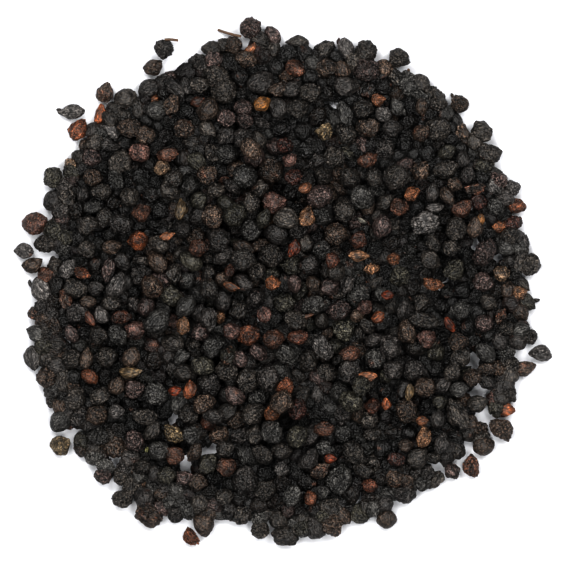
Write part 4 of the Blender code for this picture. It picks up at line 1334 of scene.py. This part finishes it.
def plan_outline(berry):
    """The inverse matrix of a berry's outline from above, taken as an ellipse, and its rise."""
    sizes = np.array([berry.shape[side] for side in ("Length", "Width", "Height")])
    axes = np.array(berry.turn.to_matrix()) * sizes / 2 * SURE_SHARE
    spread = axes @ axes.T
    return np.linalg.inv(spread[:2, :2]), math.sqrt(spread[2, 2])


def plan_map(berries):
    """The number of the topmost berry at each point of the map, or -1 for none, and its height."""
    heights, owners = np.zeros((MAP_SIDE,) * 2), np.full((MAP_SIDE,) * 2, -1)
    for number, berry in enumerate(berries):
        outline, rise = plan_outline(berry)
        low = (berry.place.xy - Vector((berry.shape["Length"] / 2,) * 2)) / MAP_STEP
        cells = int(berry.shape["Length"] / MAP_STEP) + 2
        rows, columns = int(low.y) + np.arange(cells), int(low.x) + np.arange(cells)
        y, x = np.meshgrid(rows * MAP_STEP - berry.place.y, columns * MAP_STEP - berry.place.x,
                           indexing="ij")
        out = outline[0, 0] * x * x + 2 * outline[0, 1] * x * y + outline[1, 1] * y * y
        height = berry.place.z + rise * np.sqrt(np.maximum(0, 1 - out))
        part = np.ix_(rows + MAP_SIDE // 2, columns + MAP_SIDE // 2)
        higher = (out < 1) & (height > heights[part])
        heights[part] = np.where(higher, height, heights[part])
        owners[part] = np.where(higher, number, owners[part])
    return owners, heights


print("the map has", MAP_SIDE, "points a side")

# %% Fill the gaps
NARROWEST = 0.2 * MM  # half the width of a gap that may stay open
FILL_REACH = 1.015  # share of the mound's outline, beyond which gaps stay open
FILLER_RADII = (1.7 * MM, 2.3 * MM)
OUTER_RADII = (2.1 * MM, 2.6 * MM)  # the same near the rim, where the table's gaps lie open
RIM_SHARE = 0.86  # of the way from the middle to the edge, where the rim begins
FILLER_LAP = 0.9 * MM  # what a filler reaches past its gap, under the berries round it
FILLER_LENGTH, FILLER_WIDTH = 2.15, 1.85  # as shares of its radius


def fill_gaps(berries):
    """New berries on the table, one for each gap, the widest gap first."""
    owners = plan_map([*berries, *EDGE_BERRIES])[0]
    covered = KDTree(int((owners >= 0).sum()))
    for number, (row, column) in enumerate(zip(*np.nonzero(owners >= 0))):
        covered.insert((column, row, 0), number)
    covered.balance()
    spots, room = [], []
    for row, column in zip(*np.nonzero(owners < 0)):
        spot = Vector((column - MAP_SIDE // 2, row - MAP_SIDE // 2, 0)) * MAP_STEP
        if mound_top(mound, spot, FILL_REACH) is not None and all(
                (spot.xy - bare.xy).length > FILLER_RADII[0] + radius for bare, radius in BARE):
            spots.append(spot.xy)
            room.append(covered.find((column, row, 0))[2] * MAP_STEP)
    spots, room = np.array(spots), np.array(room)
    made = []
    while len(room) and room.max() > NARROWEST:
        widest = room.argmax()
        outer = np.hypot(*spots[widest]) > RIM_SHARE * max(cad_box[1][:2])
        least, most = OUTER_RADII if outer else FILLER_RADII
        radius = min(max(room[widest] + FILLER_LAP, least), most)
        berry = any_berry((*spots[widest], 0))
        berry.shape = new_shape(berry.kind, CHANCE, FILLER_LENGTH * radius / MM,
                                FILLER_WIDTH * radius / MM)
        berry.radius = radius
        # Painted shade: a filler inside the heap is darkened like the gap it lies in.
        if not outer:
            berry.paleness_and_painted_shade = CHANCE.uniform(*PAINTED_SHADE_IN_GAPS)
        berry.turn = Euler((0, 0, CHANCE.uniform(0, math.tau)))
        berry.place.z = berry.shape["Height"] / 2 + FOLD_ROOM
        room = np.minimum(room, np.hypot(*(spots - spots[widest]).T) - SURE_SHARE * radius)
        made.append(berry)
    return made


fillers = fill_gaps(BERRIES)
BERRIES += fillers
print(len(fillers), "small berries fill gaps")

# %% Drop the crumbs
CRUMB_RISE = 0.3 * MM  # of a crumb's middle over the berry that it lies on
# Small things on the berries and round them: (kind, x, y, heading, length, width, tint).
CRUMBS = (
    ("seed", -30.5, -36.7, 80, 1.3, 0.8, "straw"),
    ("seed", 19.2, -31.5, 10, 1.0, 0.8, "amber"),
    ("seed", 16.2, 13.1, -30, 2.2, 1.0, "cream"),
    ("seed", -8.0, 50.3, 40, 3.6, 1.9, "orange_brown"),
    ("seed", 3.9, -7.9, 20, 4.4, 1.0, "orange_brown"),
    ("seed", -31.2, 41.4, -50, 1.2, 0.9, "tan"),
    ("seed", 54.3, -4.2, 0, 1.6, 0.9, "black"),
    ("seed", -55.7, -0.9, -65, 2.6, 0.8, "grey"),
    ("seed", 35.9, 40.4, 100, 1.1, 0.8, "brown"),
    ("seed", 11.2, 52.2, 80, 1.6, 0.8, "maroon"),
    ("seed", -45.5, 27.2, 110, 1.4, 0.8, "black"),
    ("seed", -49.6, 37.2, 0, 1.2, 0.8, "black"),
    ("seed", -47.3, 32.9, 0, 1.0, 0.8, "black"),
)


def drop_crumbs(berries):
    """Crumbs, each on the topmost berry under it or on the table."""
    heights = plan_map(berries)[1]
    made = []
    for kind, x, y, heading, length, width, tint in CRUMBS:
        place = Vector((x, y, 0)) * MM + HEAP_MIDDLE
        row, column = (round(v / MAP_STEP) + MAP_SIDE // 2 for v in (place.y, place.x))
        shape = new_shape(kind, CHANCE, length, width)
        place.z = max(heights[row, column] + CRUMB_RISE, shape["Height"] / 2 + FOLD_ROOM)
        made.append(Berry(kind, shape, place, Euler((0, 0, math.radians(heading))), TINTS[tint],
                          fixed=True))
    return made


BERRIES += drop_crumbs(BERRIES)
print(len(CRUMBS), "crumbs;", len(BERRIES), "berries and crumbs in the heap now")

# %% [markdown]
# ## How fine each berry must be
# Most of the lower berries hardly show. What share of a berry can be seen decides how many faces
# it gets, and how much painted shade darkens its tint: the less of it shows, the darker. Berries
# near the rim show from the side too, so they never get the coarsest shape.

# %% Choose the detail
FINE, MIDDLING, COARSE = 13, 8, 5  # points along each side of the berry's cube
FINE_FROM, FINE_AT_RIM_FROM, MIDDLING_FROM = 0.5, 0.25, 0.06  # shares of a berry in sight
EDGE_DETAIL = 15
WIDE_OPEN = 0.6  # share of a berry in sight, from which its tint gets no painted shade
PAINTED_SHADE_HIDDEN_FACTOR = 0.35  # painted shade: what is left of a berry's tone when none of it is in sight


def choose_detail(berries):
    """Each berry's fineness and painted shade, from how much of it shows on the map."""
    owners = plan_map(berries)[0]
    seen = np.bincount(owners[owners >= 0], minlength=len(berries)) * MAP_STEP ** 2
    reach = RIM_SHARE * max(cad_box[1][:2])
    for berry, area in zip(berries, seen):
        share = area / (math.pi * berry.radius ** 2)
        # Painted shade: the less of a berry is in sight, the darker its tint.
        berry.paleness_and_painted_shade *= PAINTED_SHADE_HIDDEN_FACTOR + (1 - PAINTED_SHADE_HIDDEN_FACTOR) * min(1.0, share / WIDE_OPEN)
        at_rim = berry.place.xy.length > reach
        if share > FINE_FROM or (at_rim and share > FINE_AT_RIM_FROM):
            berry.detail = FINE
        elif share > MIDDLING_FROM or at_rim:
            berry.detail = MIDDLING
        else:
            berry.detail = COARSE


choose_detail(BERRIES)
for detail in (FINE, MIDDLING, COARSE):
    print(sum(berry.detail == detail for berry in BERRIES), "berries with",
          6 * (detail - 1) ** 2, "faces")

# %% [markdown]
# ## Dressing the heap
# Berries of one kind and one fineness go through the setting tree together, and come out as one
# mesh. A mesh of all of them would be too heavy to handle, so they are dealt out into pieces of at
# most 110 berries, each spread over the whole heap. The loose berries round the edge stay single
# pieces, each in the place of its own solid.

# %% Set the berries
PIECE_BERRIES = 110
# Folds: millimetres from one to the next, and how high they stand.
FOLDS = {"crinkled": (1.15, 0.16), "ringed": (1.2, 0.12), "smooth": (1.9, 0.07),
         "sunken": (1.4, 0.15), "unripe": (1.0, 0.12), "seed": (0.9, 0.05)}
PIECE_NAMES = {FINE: "upper", MIDDLING: "middle", COARSE: "lower"}


def set_berries(name, kind, berries):
    """One plain mesh object that holds these berries, all of one kind."""
    shapes = bpy.data.collections.new(name)
    bpy.context.scene.collection.children.link(shapes)
    numbers, models = {}, []
    for berry in berries:
        key = (berry.shape["Seed"], berry.detail)
        if key not in numbers:
            numbers[key] = len(numbers)
            model = bpy.data.objects.new(f"shape_{numbers[key]:04d}",
                                         berry_mesh(berry.shape, berry.detail))
            shapes.objects.link(model)
            models.append(model)
        berry.number = numbers[key]
    points = bpy.data.meshes.new(name)
    points.from_pydata([berry.place for berry in berries], [], [])
    for title, kind_of_value, field, values in (
            ("shape", "INT", "value", [berry.number for berry in berries]),
            ("cell", "INT", "value", list(range(len(berries)))),
            ("chance", "FLOAT", "value", [berry.chance for berry in berries]),
            ("warm", "FLOAT", "value", [berry.warm for berry in berries]),
            ("turn", "FLOAT_VECTOR", "vector", [v for berry in berries for v in berry.turn]),
            # Each berry's tint, darkened with painted shade where the berry lies hidden or in a
            # gap.
            ("tint", "FLOAT_COLOR", "color",
             [v * berry.paleness_and_painted_shade for berry in berries for v in linear(berry.tint)])):
        attribute = points.attributes.new(title, kind_of_value, "POINT")
        attribute.data.foreach_set(field, values)
    length, depth = FOLDS[kind]
    mesh = evaluate(name, SETTING_TREE, {
        "Shapes": shapes, "Fold length": length, "Fold depth": depth * MM,
        "Squares": math.ceil(math.sqrt(len(berries))), "Skin": SKINS[kind]}, points)
    for model in models:
        bpy.data.objects.remove(model)
    bpy.data.collections.remove(shapes)
    piece = bpy.data.objects.new(name, mesh)
    bpy.context.scene.collection.objects.link(piece)
    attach(piece, "root")
    return piece


for kind in KINDS:
    for detail, where in PIECE_NAMES.items():
        chosen = [berry for berry in BERRIES if (berry.kind, berry.detail) == (kind, detail)]
        parts = max(1, math.ceil(len(chosen) / PIECE_BERRIES))
        for part in range(parts if chosen else 0):
            set_berries(f"{kind}_{where}_{part + 1}", kind, chosen[part::parts])
            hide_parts("heaped_berries")
for berry in EDGE_BERRIES:
    berry.detail = EDGE_DETAIL
    set_berries(f"{berry.name}_dried", berry.kind, [berry])
    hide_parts(berry.name)

# %% [markdown]
# ## Stalks
# A stalk of an elderberry is a green thread that dries to a brown one, barely half a millimetre
# thick, wider where it held the berry. Each is swept along a smooth curve, from that end past a
# bend to its snapped tip.

# %% Sweep the stalks
STALK_INPUTS = (
    ("Start", "NodeSocketVector", (0, 0, 0)),
    ("Bend", "NodeSocketVector", (0, 0, 0)),
    ("End", "NodeSocketVector", (0, 0, 0)),
    ("Radius", "NodeSocketFloat", 0.28 * MM),
    ("Skin", "NodeSocketMaterial", None),
)
STALKS = (  # (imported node, start, bend, end), in mm from the mound's middle
    ("stalk_1", (-10.0, 53.2, 2.2), (-12.4, 53.6, 1.4), (-15.0, 54.6, 0.4)),
    ("stalk_2", (-26.6, 52.45, 2.4), (-25.2, 52.6, 2.2), (-23.7, 52.3, 1.6)),
    ("stalk_3", (26.4, 46.0, 1.9), (26.5, 45.4, 1.3), (26.2, 44.6, 0.4)),
)
KNOTS = 0.9 / MM  # swellings a metre, about one a millimetre
FIBRES = 2.5 / MM  # streaks a metre, 0.4 mm apart


def stalk_tree():
    tree = new_tree("dry_stalk", STALK_INPUTS)
    given = add(tree, "NodeGroupInput").outputs
    line = add(tree, "GeometryNodeCurveQuadraticBezier", {
        "Resolution": 24, "Start": given["Start"], "Middle": given["Bend"], "End": given["End"]})
    along = add(tree, "GeometryNodeSplineParameter")
    wide = add(tree, "ShaderNodeMapRange", {"Value": along.outputs["Factor"], "From Max": 0.35,
                                            "To Min": 1.5, "To Max": 1.0},
               interpolation_type="SMOOTHSTEP")
    knots = add(tree, "ShaderNodeTexNoise", {"Scale": KNOTS, "Detail": 1.0})
    knots = add(tree, "ShaderNodeMapRange", {"Value": knots, "To Min": 0.7, "To Max": 1.3})
    wide = add(tree, "ShaderNodeMath", {0: wide, 1: knots}, operation="MULTIPLY")
    sized = add(tree, "GeometryNodeSetCurveRadius", {"Curve": line, "Radius": wide})
    ring = add(tree, "GeometryNodeCurvePrimitiveCircle", {"Resolution": 10,
                                                          "Radius": given["Radius"]})
    swept = add(tree, "GeometryNodeCurveToMesh", {
        "Curve": sized, "Profile Curve": ring.outputs["Curve"], "Fill Caps": True})
    real = add(tree, "GeometryNodeRealizeInstances", {0: swept})
    dressed = add(tree, "GeometryNodeSetMaterial", {"Geometry": real, "Material": given["Skin"]})
    add(tree, "NodeGroupOutput", {0: dressed})
    return tree


def paint_stalk():
    """Dried plant fibre, snapped off and never polished: matt and brown, with short streaks."""
    made = bpy.data.materials.new("dry_stalk_fibre")
    made.use_nodes = True
    tree = made.node_tree
    shader = tree.nodes["Principled BSDF"]
    place = add(tree, "ShaderNodeTexCoord").outputs["Object"]
    fibre = add(tree, "ShaderNodeTexNoise", {"Vector": place, "Scale": FIBRES, "Detail": 2.0})
    tone = add(tree, "ShaderNodeValToRGB", {0: fibre})
    tone.color_ramp.elements[0].color = linear("#2f241f")
    tone.color_ramp.elements[1].color = linear("#775f4b")
    tree.links.new(tone.outputs[0], shader.inputs["Base Color"])
    raised = add(tree, "ShaderNodeBump", {"Height": fibre, "Distance": 0.05 * MM})
    tree.links.new(raised.outputs[0], shader.inputs["Normal"])
    shader.inputs["Roughness"].default_value = 0.75
    return made


STALK_TREE, STALK_SKIN = stalk_tree(), paint_stalk()
for node, *route in STALKS:
    start, bend, end = [Vector(point) * MM + HEAP_MIDDLE for point in route]
    mesh = evaluate(node, STALK_TREE, {"Start": start, "Bend": bend, "End": end,
                                       "Skin": STALK_SKIN})
    stalk = bpy.data.objects.new(f"{node}_dried", mesh)
    bpy.context.scene.collection.objects.link(stalk)
    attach(stalk, "root")
    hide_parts(node)
print(len(STALKS), "stalks")
